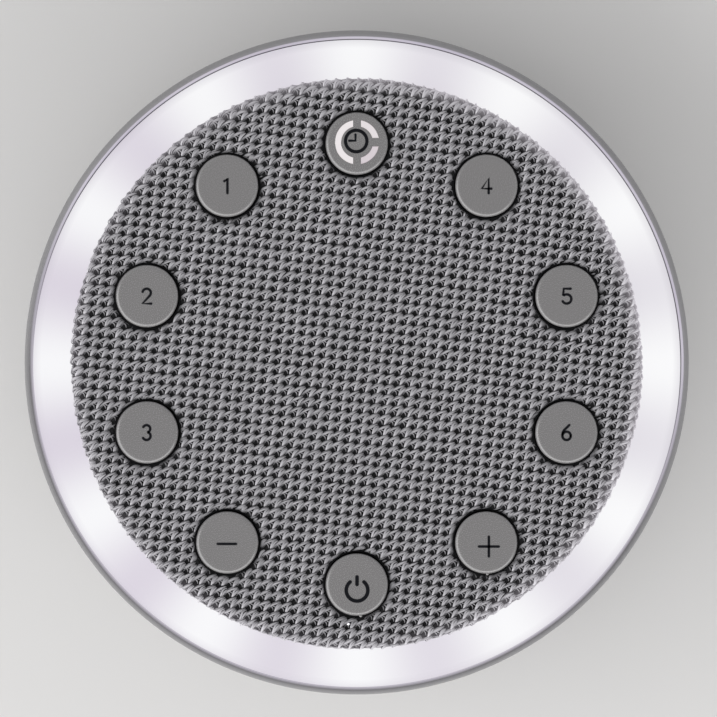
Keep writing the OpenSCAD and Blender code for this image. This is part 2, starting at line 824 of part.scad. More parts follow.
module speaker_basket() {
    window_low = spider_z + basket_t;
    color("#55575a") difference() {
        union() {
            translate([0, 0, flange_low]) linear_extrude(speaker_flange_t) difference() {
                speaker_outline(flange_r);
                circle(r = flange_in_r);
            }
            rotate_extrude() {
                polygon([
                    [flange_in_r, flange_low + eps], [flange_in_r + basket_t, flange_low + eps],
                    [basket_floor_r + basket_t, basket_floor_z - basket_t], [gap_r, basket_floor_z - basket_t],
                    [gap_r, basket_floor_z], [basket_floor_r, basket_floor_z]
                ]);
                translate([basket_floor_r - spider_ledge_w, basket_floor_z - eps])
                    square([spider_ledge_w + basket_t / 2, spider_ledge_h + eps]);
            }
        }
        for (a = [0, 90, 180])
            rotate(a) translate([basket_floor_r - spider_ledge_w - cut_over, -basket_window_w / 2, window_low])
                cube([flange_r, basket_window_w, flange_low - basket_t - window_low]);
        ear_holes(flange_low - cut_over, gasket_z + cut_over);
    }
}

module speaker_top_plate() {
    color("#a8abb0") translate([0, 0, top_plate_z]) ring(plate_r, gap_r, plate_t);
}

module speaker_magnet() {
    color("#2a2a2c") translate([0, 0, magnet_z]) ring(magnet_r, magnet_in_r, magnet_h);
}

module speaker_yoke() {
    color("#a8abb0") {
        translate([0, 0, yoke_z]) cylinder(r = plate_r, h = plate_t);
        translate([0, 0, yoke_z]) cylinder(r = pole_r, h = basket_floor_z - basket_t - yoke_z);
    }
}

module speaker_voice_coil() {
    color("#c07a3a") translate([0, 0, coil_low]) ring(coil_r, coil_r - coil_t, coil_top - coil_low);
}

module speaker_cone() {
    neck = coil_r + thread_gap;
    rim_in = cone_r - rim_w;
    color("#303033") rotate_extrude() polygon([
        [neck, cone_neck_z], [rim_in, rim_top - cone_t], [cone_r, rim_top - cone_t],
        [cone_r, rim_top], [rim_in, rim_top], [neck, cone_neck_z + cone_t]
    ]);
}

module speaker_dust_cap() {
    ball_r = (pow(dust_cap_r, 2) + pow(dust_cap_h, 2)) / (2 * dust_cap_h);
    slope = (rim_top - cone_t - cone_neck_z) / (cone_r - rim_w - coil_r - thread_gap);
    seat_z = cone_neck_z + cone_t + slope * (dust_cap_r - coil_r) + thread_gap;
    color("#232325") rotate_extrude() intersection() {
        translate([0, seat_z + dust_cap_h - ball_r]) difference() {
            circle(r = ball_r, $fn = 128);
            circle(r = ball_r - cone_t, $fn = 128);
        }
        translate([0, seat_z]) square([dust_cap_r, dust_cap_h + cut_over]);
    }
}

module speaker_surround() {
    color("#1e1e20") rotate_extrude() translate([0, rim_top]) {
        intersection() {
            difference() {
                translate([roll_at, 0]) circle(r = roll_r);
                translate([roll_at, 0]) circle(r = roll_r - surround_t);
            }
            translate([roll_at - roll_r, 0]) square([2 * roll_r, roll_r + cut_over]);
        }
        translate([roll_at - roll_r - landing_w, 0]) square([landing_w + surround_t / 2, surround_t]);
        translate([roll_at + roll_r - surround_t / 2, 0]) square([landing_w, surround_t]);
    }
}

module speaker_spider() {
    in_r = coil_r + thread_gap;
    out_r = basket_floor_r - thread_gap;
    steps = 48;
    function wave(i) =
        let (edge = min(1, 6 * min(i, steps - i) / steps))
        spider_wave * edge * (1 - cos(360 * spider_waves * i / steps)) / 2;
    function at(i) = in_r + (out_r - in_r) * i / steps;
    color("#c79a4a") rotate_extrude() polygon(concat(
        [for (i = [0:steps]) [at(i), spider_z + wave(i)]],
        [for (i = [steps:-1:0]) [at(i), spider_z + wave(i) + spider_t]]
    ));
}

module speaker_screws() {
    color("#b9bbbe") around(ear_ring_r, ear_angles)
        translate([0, 0, flange_low]) rotate([180, 0, 0]) screw(speaker_screw);
}

module speaker_terminals() {
    y = -(flange_in_r + basket_t + terminal_t);
    color("#c8a85a") {
        translate([0, y + terminal_t / 2, flange_low - terminal_h]) block([terminal_w, terminal_t, terminal_h]);
        for (s = [-1, 1])
            translate([s * lug_at, y - lug[1] / 2, flange_low - terminal_h - 1]) block(lug);
    }
}

// ---- Main board ----

module main_board() {
    color("#2f6b46") difference() {
        translate([0, 0, board_z]) linear_extrude(board_t) {
            circle(r = main_board_r);
            translate([-tongue_w / 2, 0]) square([tongue_w, tongue_y]);
        }
        around(main_screw_r, main_screw_angles)
            translate([0, 0, board_z - cut_over])
                cylinder(r = board_screw[0] + fit_gap, h = board_t + 2 * cut_over);
    }
}

module main_board_screws() {
    color("#b9bbbe") around(main_screw_r, main_screw_angles)
        translate([0, 0, board_top]) screw(board_screw);
}

module main_board_chips() {
    color("#1a1a1c") for (i = [0:len(chip_places) - 1])
        translate([main_board_r * chip_places[i][0], main_board_r * chip_places[i][1], board_top])
            block(chip_sizes[i]);
}

module main_board_capacitors() {
    color("#3b4a63") for (p = can_places)
        translate([main_board_r * p[0], main_board_r * p[1], board_top]) cylinder(r = can_r, h = can_h);
}

module power_socket() {
    color("#c9ccd0") difference() {
        slot_bar(socket_w, socket_h, socket_y - socket_l, socket_y, socket_z);
        difference() {
            slot_bar(socket_w - 2 * socket_lining, socket_h - 2 * socket_lining,
                     socket_y - socket_l + 1.2, socket_y + cut_over, socket_z);
            translate([-contact_w / 2, socket_y - socket_l, socket_z - contact_h / 2])
                cube([contact_w, socket_l - 0.8, contact_h]);
        }
    }
}

module ribbon_sockets() {
    color("#efe9d8") translate([-ribbon_r, 0, 0]) {
        translate([0, 0, board_top]) block(ribbon_socket);
        translate([0, 0, button_board_z - ribbon_socket[2]]) block(ribbon_socket);
    }
}

module lead_headers() {
    color("#f3f1ea") {
        translate([0, -speaker_header_r, board_top]) block(header);
        rotate(lamp_header_angle) translate([lamp_header_r, 0, board_top]) block([header[1], header[0], header[2]]);
    }
}

// ---- Leads ----

module speaker_leads() {
    y = -(flange_in_r + basket_t + terminal_t);
    low = flange_low - terminal_h - 1;
    top = board_top + header[2];
    drop = low - top;
    x = header_pitch / 2;
    color("#b03028") for (s = [-1, 1])
        lead([
            [s * lug_at, y, low], [s * lug_at, y, low - 0.17 * drop],
            [s * lug_at, y + (-speaker_header_r - y) * 0.375, low - 0.46 * drop],
            [s * (lug_at + x) / 2, -speaker_header_r, top + 0.29 * drop],
            [s * x, -speaker_header_r, top + 0.115 * drop], [s * x, -speaker_header_r, top]
        ], lead_r);
}

module led_leads() {
    top = board_top + header[2];
    rise = deck_z - top;
    run = lamp_lead_r - lamp_header_r;
    x = header_pitch / 2;
    color("#d8d8d8") rotate(lamp_header_angle) for (s = [-1, 1])
        lead([
            [lamp_header_r, s * x, top], [lamp_header_r, s * x, top + 0.11 * rise],
            [lamp_header_r + 0.3 * run, s * 0.8 * x, top + 0.33 * rise],
            [lamp_lead_r - 0.18 * run, s * 0.8 * x, deck_z - 0.36 * rise],
            [lamp_lead_r, s * 0.8 * x, deck_z - 0.11 * rise], [lamp_lead_r, s * 0.8 * x, lamp_board_z]
        ], lead_r);
}

module button_ribbon() {
    low = board_top + ribbon_socket[2];
    high = button_board_z - ribbon_socket[2];
    half = (high - low) / 2;
    bend_r = (pow(half, 2) + pow(ribbon_bow, 2)) / (2 * ribbon_bow);
    color("#e4e0d0") translate([-ribbon_r, ribbon_w / 2, (low + high) / 2]) rotate([90, 0, 0])
        linear_extrude(ribbon_w) intersection() {
            translate([bend_r - ribbon_bow, 0]) difference() {
                circle(r = bend_r + ribbon_t / 2, $fn = 200);
                circle(r = bend_r - ribbon_t / 2, $fn = 200);
            }
            translate([-2 * ribbon_bow, -half]) square([2 * ribbon_bow + ribbon_t, 2 * half]);
        }
}

foot_ring();
base_plate();
base_screws();
housing();
light_ring();
light_reflector();
light_ring_board();
light_ring_leds();
top_frame();
top_frame_screws();
grille_plate();
cloth_cover();
timer_button();
sound_button_1();
sound_button_2();
sound_button_3();
sound_button_4();
sound_button_5();
sound_button_6();
volume_up_button();
volume_down_button();
power_button();
timer_light_guide();
timer_leds();
status_led();
button_board();
button_switches();
timer_plunger();
sound_plunger_1();
sound_plunger_2();
sound_plunger_3();
sound_plunger_4();
sound_plunger_5();
sound_plunger_6();
volume_up_plunger();
volume_down_plunger();
power_plunger();
button_board_screws();
speaker_basket();
speaker_yoke();
speaker_magnet();
speaker_top_plate();
speaker_cone();
speaker_dust_cap();
speaker_surround();
speaker_spider();
speaker_voice_coil();
speaker_gasket();
speaker_screws();
speaker_terminals();
main_board();
main_board_chips();
main_board_capacitors();
ribbon_sockets();
lead_headers();
power_socket();
main_board_screws();
speaker_leads();
button_ribbon();
led_leads();
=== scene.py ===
"""A round table-top sound machine: knitted top, ten push buttons in a ring, a lit rim and a bowed case."""

import json
import math

import bmesh
import bpy
import numpy as np
from mathutils import Matrix, Vector

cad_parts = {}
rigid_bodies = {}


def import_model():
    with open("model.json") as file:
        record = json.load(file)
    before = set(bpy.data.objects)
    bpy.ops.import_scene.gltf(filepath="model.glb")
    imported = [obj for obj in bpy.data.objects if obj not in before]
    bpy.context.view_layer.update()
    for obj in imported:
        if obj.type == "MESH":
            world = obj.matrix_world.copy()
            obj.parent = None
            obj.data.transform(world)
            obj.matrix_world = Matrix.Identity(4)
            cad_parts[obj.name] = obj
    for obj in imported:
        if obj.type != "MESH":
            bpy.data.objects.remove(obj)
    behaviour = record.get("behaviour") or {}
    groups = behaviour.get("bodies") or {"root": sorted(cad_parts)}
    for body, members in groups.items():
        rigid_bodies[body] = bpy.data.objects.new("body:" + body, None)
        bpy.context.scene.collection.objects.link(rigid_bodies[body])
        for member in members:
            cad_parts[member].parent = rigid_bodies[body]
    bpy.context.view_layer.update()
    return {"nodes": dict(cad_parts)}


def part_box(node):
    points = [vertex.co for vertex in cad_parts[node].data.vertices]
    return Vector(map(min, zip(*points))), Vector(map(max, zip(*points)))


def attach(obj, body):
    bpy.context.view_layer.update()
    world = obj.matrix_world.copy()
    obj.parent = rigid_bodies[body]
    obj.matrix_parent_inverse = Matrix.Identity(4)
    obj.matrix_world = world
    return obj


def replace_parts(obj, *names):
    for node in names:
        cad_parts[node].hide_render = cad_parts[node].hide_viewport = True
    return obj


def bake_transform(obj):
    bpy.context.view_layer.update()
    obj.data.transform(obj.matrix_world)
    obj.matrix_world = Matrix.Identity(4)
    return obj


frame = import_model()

MM = 0.001

# -------------------- sizes, in millimetres, from the frame


def node_box(node):
    """Lowest and highest corner of a CAD node, in millimetres."""
    low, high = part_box(node)
    return np.array(low) / MM, np.array(high) / MM


def outer_radius(node):
    """How far a CAD node reaches from the axis."""
    low, high = node_box(node)
    return float(max(high[0], high[1], -low[0], -low[1]))


def heights(node):
    """Lowest and highest z of a CAD node."""
    return [float(corner[2]) for corner in node_box(node)]


CASE_R = outer_radius("housing")
HEM_Z, LIP_Z = heights("housing")
WAIST_Z = 27.0  # height at which the case is widest
BOW_R = 90.0  # radius of the case's bow
CASE_WALL = 2.4

LIGHT_R = outer_radius("light_ring") + 0.4  # wider than its solid, for a fine gap at the lip
LIGHT_W = 7.3
LIGHT_LOW_Z = heights("light_ring")[0]
LIP_GAP = 0.12  # between the lit ring and the case's lip
LAMPS = 12

CLOTH_R = outer_radius("cloth_cover")
CLOTH_TOP_Z = heights("cloth_cover")[1]
CLOTH_T = 0.9

CAP_LOW_Z, CAP_TOP_Z = heights("timer_button")
CAP_R = 5.67
FLANGE_R = 6.3
RING_R = float(-node_box("power_button")[0][1]) - FLANGE_R  # of the circle that the buttons stand on
# Each button's angle on the circle
BUTTONS = {
    "timer_button": 90, "sound_button_4": 54, "sound_button_5": 18, "sound_button_6": -18,
    "volume_up_button": -54, "power_button": -90, "volume_down_button": -126,
    "sound_button_3": -162, "sound_button_2": 162, "sound_button_1": 126,
}
STATUS_AT = (-1.50, -47.26)  # the status light, below the power button


def button_at(name):
    """Where a button's middle is."""
    a = math.radians(BUTTONS[name])
    return RING_R * math.cos(a), RING_R * math.sin(a)


def level(place):
    """A place or step (x, y) in millimetres as a level vector in metres."""
    return place[0] * MM, place[1] * MM, 0.0


def placed(name, data):
    """A new object in the scene."""
    obj = bpy.data.objects.new(name, data)
    bpy.context.collection.objects.link(obj)
    return obj


# -------------------- camera

PICTURE_PX = 717
PX_PER_MM = 5.519  # at the height of the caps
VIEW_DISTANCE = 500.0
VIEW_LEAN = 0.82  # degrees, towards +Y
AXIS_PX = (356.7, 364.4)  # where the axis meets the caps' plane in the picture
SENSOR = 36.0


def make_camera():
    """A camera high over the top, with the machine a little off its middle."""
    data = bpy.data.cameras.new("camera")
    cam = placed("camera", data)
    lean = math.radians(VIEW_LEAN)
    back, up = VIEW_DISTANCE * math.sin(lean), VIEW_DISTANCE * math.cos(lean)
    cam.location = Vector((0, back, CAP_TOP_Z + up)) * MM
    cam.rotation_euler = (-lean, 0, 0)
    data.sensor_width = SENSOR
    data.lens = PX_PER_MM * VIEW_DISTANCE * SENSOR / PICTURE_PX
    data.shift_x = (PICTURE_PX / 2 - AXIS_PX[0]) / PICTURE_PX
    data.shift_y = (AXIS_PX[1] - PICTURE_PX / 2) / PICTURE_PX
    data.clip_start, data.clip_end = 0.01, 20
    bpy.context.scene.camera = cam


make_camera()

# -------------------- node helpers


class Wire:
    """An output socket that sums can be written with; each operator adds one Math node."""

    def __init__(self, nodes, socket):
        self.nodes, self.socket = nodes, socket

    def __add__(self, other):
        return self.nodes.math("ADD", self, other)

    def __sub__(self, other):
        return self.nodes.math("SUBTRACT", self, other)

    def __rsub__(self, other):
        return self.nodes.math("SUBTRACT", other, self)

    def __mul__(self, other):
        return self.nodes.math("MULTIPLY", self, other)

    def __pow__(self, other):
        return self.nodes.math("POWER", self, other)

    __radd__ = __add__
    __rmul__ = __mul__


class Nodes:
    """A node tree, grown one node at a time."""

    def __init__(self, tree):
        self.tree = tree

    def put(self, target, value):
        """Gives a socket its value or its wire."""
        if isinstance(value, Wire):
            self.tree.links.new(value.socket, target)
        else:
            target.default_value = value

    def node(self, kind, settings=(), inputs=()):
        """Adds a node: its settings first, then the values or wires of its sockets."""
        node = self.tree.nodes.new(kind)
        for key, value in dict(settings).items():
            setattr(node, key, value)
        for key, value in dict(inputs).items():
            self.put(node.inputs[key], value)
        return node

    def add(self, kind, settings=(), inputs=(), out=0):
        """Adds a node and returns one of its outputs."""
        return Wire(self, self.node(kind, settings, inputs).outputs[out])

    def math(self, operation, a, b=0.0):
        return self.add("ShaderNodeMath", {"operation": operation}, {0: a, 1: b})

    def length(self, x, y):
        return self.math("SQRT", x * x + y * y)

    def reach(self, side, x, y):
        """How far a place lies in a level direction."""
        return x * side[0] + y * side[1]

    def split(self, vector):
        """The three parts of a vector, each on its own."""
        node = self.node("ShaderNodeSeparateXYZ", {}, {0: vector})
        return [Wire(self, socket) for socket in node.outputs]


class Paint(Nodes):
    """A material's nodes, with one shader at the end."""

    def __init__(self, name, colour, roughness, **fixed):
        self.material = bpy.data.materials.new(name)
        self.material.use_nodes = True
        super().__init__(self.material.node_tree)
        self.colour = colour
        self.set(Base_Color=(*colour, 1), Roughness=roughness, **fixed)

    def set(self, **sockets):
        """Sets the shader's sockets, and returns the material."""
        for socket, value in sockets.items():
            self.put(self.tree.nodes["Principled BSDF"].inputs[socket.replace("_", " ")], value)
        return self.material

    def place(self, size_mm, stretch=(1, 1, 1)):
        """Object coordinates for a pattern whose parts are size_mm across."""
        at = self.add("ShaderNodeTexCoord", out="Object")
        scale = tuple(1 / (size_mm * MM) / s for s in stretch)
        return self.add("ShaderNodeMapping", {}, {"Vector": at, "Scale": scale})

    def coordinates(self):
        """The three object coordinates, each on its own."""
        return self.split(self.add("ShaderNodeTexCoord", out="Object"))

    def noise(self, size_mm, detail=2.0, rough=0.5, stretch=(1, 1, 1)):
        """Noise from 0 to 1 whose blobs are about size_mm across."""
        return self.add("ShaderNodeTexNoise", {}, {
            "Vector": self.place(size_mm, stretch), "Scale": 1.0, "Detail": detail, "Roughness": rough})

    def grain(self, size_mm):
        """A fine grain, and the same grain under slow clouds."""
        fine = self.noise(size_mm, detail=3)
        return fine, self.noise(14, detail=3) * 0.6 + fine * 0.4

    def remap(self, value, low, high, to_low=0.0, to_high=1.0):
        return self.add("ShaderNodeMapRange", {"clamp": True}, {
            "Value": value, "From Min": low, "From Max": high, "To Min": to_low, "To Max": to_high})

    def span(self, length, low, high, to_low=0.0, to_high=1.0):
        """Remaps a length; low and high are in millimetres."""
        return self.remap(length, low * MM, high * MM, to_low, to_high)

    def mix(self, factor, a, b):
        """Mixes two colours."""
        a, b = (c if isinstance(c, Wire) else (*c, 1) for c in (a, b))
        return self.add("ShaderNodeMix", {"data_type": "RGBA"}, {0: factor, 6: a, 7: b}, out=2)

    def shade_by(self, value, spread, colour=None):
        """Lightens and darkens the colour by up to spread, as value goes from 0 to 1."""
        colour = colour or self.colour
        dark = tuple(c * (1 - spread) for c in colour)
        light = tuple(min(1, c * (1 + spread)) for c in colour)
        return self.mix(value, dark, light)

    def bump(self, height, depth_mm, strength=1.0):
        return self.add("ShaderNodeBump", {}, {
            "Height": height, "Distance": depth_mm * MM, "Strength": strength})


def srgb(*values):
    """Linear colour from 0 to 255 screen values."""
    return tuple(v / 255 / 12.92 if v <= 10 else ((v / 255 + 0.055) / 1.055) ** 2.4 for v in values)


def moulded(name, colour, roughness=0.5, grain_mm=0.25, depth_mm=0.01, spread=0.05, **fixed):
    """Moulded plastic: a fine spark-eroded grain, cloudy colour, and gloss that wanders a little."""
    p = Paint(name, colour, roughness, **fixed)
    grain, tone = p.grain(grain_mm)
    return p.set(
        Base_Color=p.shade_by(tone, spread),
        Roughness=p.remap(grain, 0.3, 0.7, roughness - 0.06, roughness + 0.06),
        Normal=p.bump(grain, depth_mm))


def metal(name, colour, roughness=0.3, stretch=(8, 1, 1)):
    """Turned or drawn metal: fine streaks in colour, gloss and relief."""
    p = Paint(name, colour, roughness, Metallic=1.0)
    streak = p.noise(0.15, detail=4, stretch=stretch)
    stain = p.noise(3, detail=3)
    return p.set(
        Base_Color=p.shade_by(streak * 0.5 + stain * 0.5, 0.15),
        Roughness=p.remap(streak, 0.2, 0.8, roughness - 0.08, roughness + 0.12),
        Normal=p.bump(streak, 0.004))


def board(name, colour, copper):
    """Circuit board: lacquer over a faint glass weave, with pads and tracks showing through."""
    p = Paint(name, colour, 0.28, Coat_Weight=0.4, Coat_Roughness=0.15)
    weave = p.add("ShaderNodeTexChecker", {}, {"Vector": p.place(0.5), "Scale": 1.0}, out=1)
    tracks = p.add("ShaderNodeTexBrick", {"offset": 0.5}, {
        "Vector": p.place(6), "Scale": 1.0, "Mortar Size": 0.04, "Mortar Smooth": 0.1}, out=1)
    return p.set(
        Base_Color=p.mix(tracks * 0.7, p.shade_by(weave, 0.06), copper),
        Normal=p.bump(tracks, 0.03, 0.5))


def rubber(name, colour):
    """Rubber: dull, with a fine pebble and dusty patches."""
    p = Paint(name, colour, 0.75)
    pebble = p.add("ShaderNodeTexVoronoi", {}, {"Vector": p.place(0.4), "Scale": 1.0})
    dust = p.noise(6, detail=4)
    return p.set(
        Base_Color=p.mix(p.remap(dust, 0.5, 0.8, 0, 0.35), colour, tuple(c * 2.2 for c in colour)),
        Roughness=p.remap(dust, 0.3, 0.7, 0.68, 0.85),
        Normal=p.bump(pebble, 0.03, 0.6))


def fibre(name, colour, roughness=0.85, grain_mm=0.12):
    """Pressed fibre, such as a paper cone or a woven spider."""
    p = Paint(name, colour, roughness)
    strands = p.noise(grain_mm, detail=5, rough=0.7)
    return p.set(Base_Color=p.shade_by(strands, 0.25), Normal=p.bump(strands, 0.03))


def lamp(name, colour):
    """A lamp chip: clear yellow phosphor with a faint grain."""
    p = Paint(name, colour, 0.3, Emission_Strength=1.0)
    grain = p.noise(0.2)
    return p.set(
        Base_Color=p.shade_by(grain, 0.1),
        Emission_Color=p.shade_by(grain, 0.1, (0.9, 0.85, 0.8)))


# -------------------- mesh helpers


def mesh_of(name, verts, faces):
    """A mesh from vertices in millimetres."""
    mesh = bpy.data.meshes.new(name)
    mesh.from_pydata([tuple(c * MM for c in v) for v in verts], [], faces)
    return mesh


def dress(name, mesh, material, body="case", smooth=35):
    """Makes a piece of a mesh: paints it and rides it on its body."""
    obj = placed(name, mesh)
    mesh.materials.clear()
    mesh.materials.append(material)
    mesh.shade_smooth()
    mesh.set_sharp_from_angle(angle=math.radians(smooth))
    if body:
        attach(obj, body)
    return obj


def outward(mesh):
    """The same mesh, its doubles welded and each face turned outwards."""
    bm = bmesh.new()
    bm.from_mesh(mesh)
    bmesh.ops.remove_doubles(bm, verts=bm.verts, dist=1e-7)
    bmesh.ops.recalc_face_normals(bm, faces=bm.faces)
    bm.to_mesh(mesh)
    bm.free()
    return mesh


def arc(centre, r, start, end, steps):
    """Points on an arc in a plane, angles in degrees."""
    angles = [math.radians(start + (end - start) * i / steps) for i in range(steps + 1)]
    return [(centre[0] + r * math.cos(a), centre[1] + r * math.sin(a)) for a in angles]


def turned(name, outline, at=(0, 0), steps=256):
    """Mesh of a closed outline of (radius, height) turned round a vertical axis."""
    verts, rows = [], []
    for r, z in outline:
        if r < 1e-6:
            rows.append([len(verts)] * steps)
            verts.append((at[0], at[1], z))
        else:
            rows.append(list(range(len(verts), len(verts) + steps)))
            angles = [2 * math.pi * k / steps for k in range(steps)]
            verts += [(at[0] + r * math.cos(a), at[1] + r * math.sin(a), z) for a in angles]
    faces = []
    for a, b in zip(rows, rows[1:] + rows[:1]):
        for k in range(steps):
            n = (k + 1) % steps
            quad = [a[k], a[n], b[n], b[k]]
            face = [v for i, v in enumerate(quad) if v != quad[i - 1]]
            if len(set(face)) > 2:
                faces.append(face)
    return outward(mesh_of(name, verts, faces))


def joined(name, meshes):
    """One mesh from several, as they lie."""
    bm = bmesh.new()
    for mesh in meshes:
        bm.from_mesh(mesh)
    out = bpy.data.meshes.new(name)
    bm.to_mesh(out)
    bm.free()
    return out


def finished_mesh(obj):
    """The plain mesh that an object's modifiers make; the object goes."""
    out = bpy.data.meshes.new_from_object(obj.evaluated_get(bpy.context.evaluated_depsgraph_get()))
    bpy.data.objects.remove(obj)
    return out


def cut(mesh, tool, operation="DIFFERENCE"):
    """The mesh with the tool's solid taken away from or added to it."""
    base, other = placed("cut_base", mesh), placed("cut_tool", tool)
    modifier = base.modifiers.new("cut", "BOOLEAN")
    modifier.operation, modifier.solver, modifier.object = operation, "EXACT", other
    out = finished_mesh(base)
    bpy.data.objects.remove(other)
    return out


def prism(name, outline, low, high):
    """Mesh of a closed flat outline, as (x, y) points, from height low to height high."""
    n = len(outline)
    verts = [(x, y, low) for x, y in outline] + [(x, y, high) for x, y in outline]
    faces = [[i, (i + 1) % n, n + (i + 1) % n, n + i] for i in range(n)]
    faces += [list(range(n - 1, -1, -1)), list(range(n, 2 * n))]
    return outward(mesh_of(name, verts, faces))


# -------------------- case, base and foot


def case_at(z, inset=0.0):
    """Radius of the bowed case at a height."""
    return CASE_R - BOW_R + math.sqrt((BOW_R - inset) ** 2 - (z - WAIST_Z) ** 2)


def bow(low, high, inset, steps):
    """Outline points of the case's side between two heights."""
    levels = [low + (high - low) * i / steps for i in range(steps + 1)]
    return [(case_at(z, inset), z) for z in levels]


def make_case(material):
    """The bowed shell, with its thin lip, its ledges and the slot of the power socket."""
    hem_round, lip_round = 0.9, 0.22
    seat_z, ledge_t, ledge_r = LIGHT_LOW_Z, 1.5, LIGHT_R - 1.6
    base_top = heights("base_screws")[0] + 2.4
    base_r = outer_radius("base_plate") + 0.3
    rib_r, rib_z = base_r - 1.5, base_top + 1.5
    lip_in = LIGHT_R + LIP_GAP
    lip_out = case_at(LIP_Z)
    outline = (
        arc((case_at(HEM_Z) - hem_round, HEM_Z + hem_round), hem_round, -90, -4, 6)
        + bow(HEM_Z + 1.6, LIP_Z - lip_round, 0, 56)
        + arc((lip_out - lip_round, LIP_Z - lip_round), lip_round, 20, 90, 4)
        + arc((lip_in + lip_round, LIP_Z - lip_round), lip_round, 90, 180, 4)
        + [(lip_in, seat_z), (ledge_r, seat_z), (ledge_r, seat_z - ledge_t)]
        + bow(seat_z - ledge_t, rib_z, CASE_WALL, 24)
        + [(rib_r, rib_z), (rib_r, base_top), (base_r, base_top), (base_r, HEM_Z)])
    shell = turned("case", outline)
    z = sum(heights("power_socket")) / 2
    upright = Matrix(((1, 0, 0, 0), (0, 0, 1, 0), (0, 1, 0, 0), (0, 0, 0, 1)))
    slot, recess = (9.54, 3.86, 50.0), (13.0, 7.4, case_at(z) - 1.3)
    for w, h, y in (slot, recess):
        bar = prism("slot", oval(w, h, z), y, CASE_R + 5)
        bar.transform(upright)
        shell = cut(shell, outward(bar))
    return dress("case", shell, material)


def oval(w, h, y, steps=16):
    """A slot-shaped outline, w long and h high, about (0, y)."""
    r = h / 2
    return arc((w / 2 - r, y), r, -90, 90, steps) + arc((r - w / 2, y), r, 90, 270, steps)


def make_light_ring(material):
    """The opal ring: a face that rises to the cloth, a round shoulder and a foot that sits in the case."""
    shoulder_r, rise, steps = 1.6, 0.7, 12
    centre = (LIGHT_R - shoulder_r, LIP_Z - 0.4)
    inner_r = LIGHT_R - LIGHT_W
    run = centre[0] - inner_r
    lean = math.degrees(math.atan2(rise, run))
    face = [(inner_r + run * i / steps, centre[1] + shoulder_r + rise * (1 - i / steps) ** 1.15)
            for i in range(steps)]
    outline = (
        [(inner_r, LIGHT_LOW_Z)] + face
        + arc(centre, shoulder_r, 90 - lean, 0, 16) + [(LIGHT_R, LIGHT_LOW_Z)])
    mesh = turned("light_ring_face", outline, steps=360)
    return dress("light_ring_face", mesh, material)


# -------------------- button caps


FLANGE_LOW_Z, FLANGE_TOP_Z = CAP_LOW_Z + 1.1, CAP_LOW_Z + 2.1
FACE_Z = CAP_TOP_Z - 0.02  # a cap's face, inside its edge
# A small lug that moulding left on the wall, from the cap's middle
GATE_MARKS = {"power_button": (0.72, -5.66), "volume_up_button": (0.20, -5.68)}


def cap_outline():
    """Cross-section of a cap: stem, flange, wall, rounded edge and a face that is a little dished."""
    edge, stem_r, roof_z = 0.71, 2.0, CAP_TOP_Z - 1.2
    flat_r, wall_in_r = CAP_R - edge, CAP_R - 1
    return (
        [(0, CAP_LOW_Z), (stem_r, CAP_LOW_Z), (stem_r, roof_z), (wall_in_r, roof_z),
         (wall_in_r, FLANGE_LOW_Z), (FLANGE_R, FLANGE_LOW_Z), (FLANGE_R, FLANGE_TOP_Z), (CAP_R, FLANGE_TOP_Z)]
        + arc((flat_r, CAP_TOP_Z - edge), edge, 0, 90, 10)
        + [(flat_r - i * flat_r / 6, FACE_Z) for i in range(1, 6)] + [(0, FACE_Z)])


def make_cap(name, material):
    """One cap, with its key towards the middle of the machine."""
    at = button_at(name)
    mesh = turned(name + "_cap", cap_outline(), at, steps=128)
    tip, root, half = -7, -5.4, 0.8
    key = prism("key", [(tip, -half), (root, -half), (root, half), (tip, half)], FLANGE_LOW_Z, FLANGE_TOP_Z)
    turn = Matrix.Rotation(math.radians(BUTTONS[name]), 4, "Z")
    key.transform(Matrix.Translation(level(at)) @ turn)
    mesh = cut(mesh, key, "UNION")
    if name in GATE_MARKS:
        x, y = GATE_MARKS[name]
        lug_r, lug_z = 0.3, CAP_TOP_Z - 0.58
        lug = turned("lug", arc((0, lug_z), lug_r, -90, 90, 8), (at[0] + x, at[1] + y), 16)
        mesh = cut(mesh, lug, "UNION")
    if name == "timer_button":
        for tool in window_bars(CAP_TOP_Z - 2, CAP_TOP_Z + 1, 0.05):
            mesh = cut(mesh, tool)
    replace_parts(dress(name + "_cap", mesh, material, name + "_body", 40), name)


def window_bars(low, high, grow=0.0):
    """The timer's three arc windows as upright bars: a left half ring and two right quarters."""
    r_in, r_out = 2.9 - grow, 3.97 + grow
    half_x, half_y = 0.7 - grow, 0.8 - grow
    cap_x, cap_y = button_at("timer_button")
    middle = (0.06, 0.24)

    def side(r, half):
        return math.degrees(math.asin(half / r))

    bars = []
    for start, end, start_half, end_half in (
            (90, 270, half_x, half_x), (0, 90, half_y, half_x), (270, 360, half_x, half_y)):
        outer = arc((0, 0), r_out, start + side(r_out, start_half), end - side(r_out, end_half), 24)
        inner = arc((0, 0), r_in, end - side(r_in, end_half), start + side(r_in, start_half), 24)
        outline = [(x + middle[0] + cap_x, y + middle[1] + cap_y) for x, y in outer + inner]
        bars.append(prism("window", outline, low, high))
    return bars


def make_windows(material):
    """The timer's light guide, a little below the face of its cap."""
    mesh = joined("timer_windows", window_bars(CAP_TOP_Z - 2.4, CAP_TOP_Z - 0.05))
    guide = dress("timer_windows", mesh, material, "timer_button_body", 40)
    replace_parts(guide, "timer_light_guide")


def make_status_light(material):
    """The tip of the status light, among the yarn."""
    low, height, r = CLOTH_TOP_Z - CLOTH_T, 0.75, 0.145
    mesh = turned("status_glow", [(0, low)] + arc((0, low + height), r, 0, 90, 6), STATUS_AT, 16)
    dress("status_glow", mesh, material)


# -------------------- printed marks

INK_T = 0.03


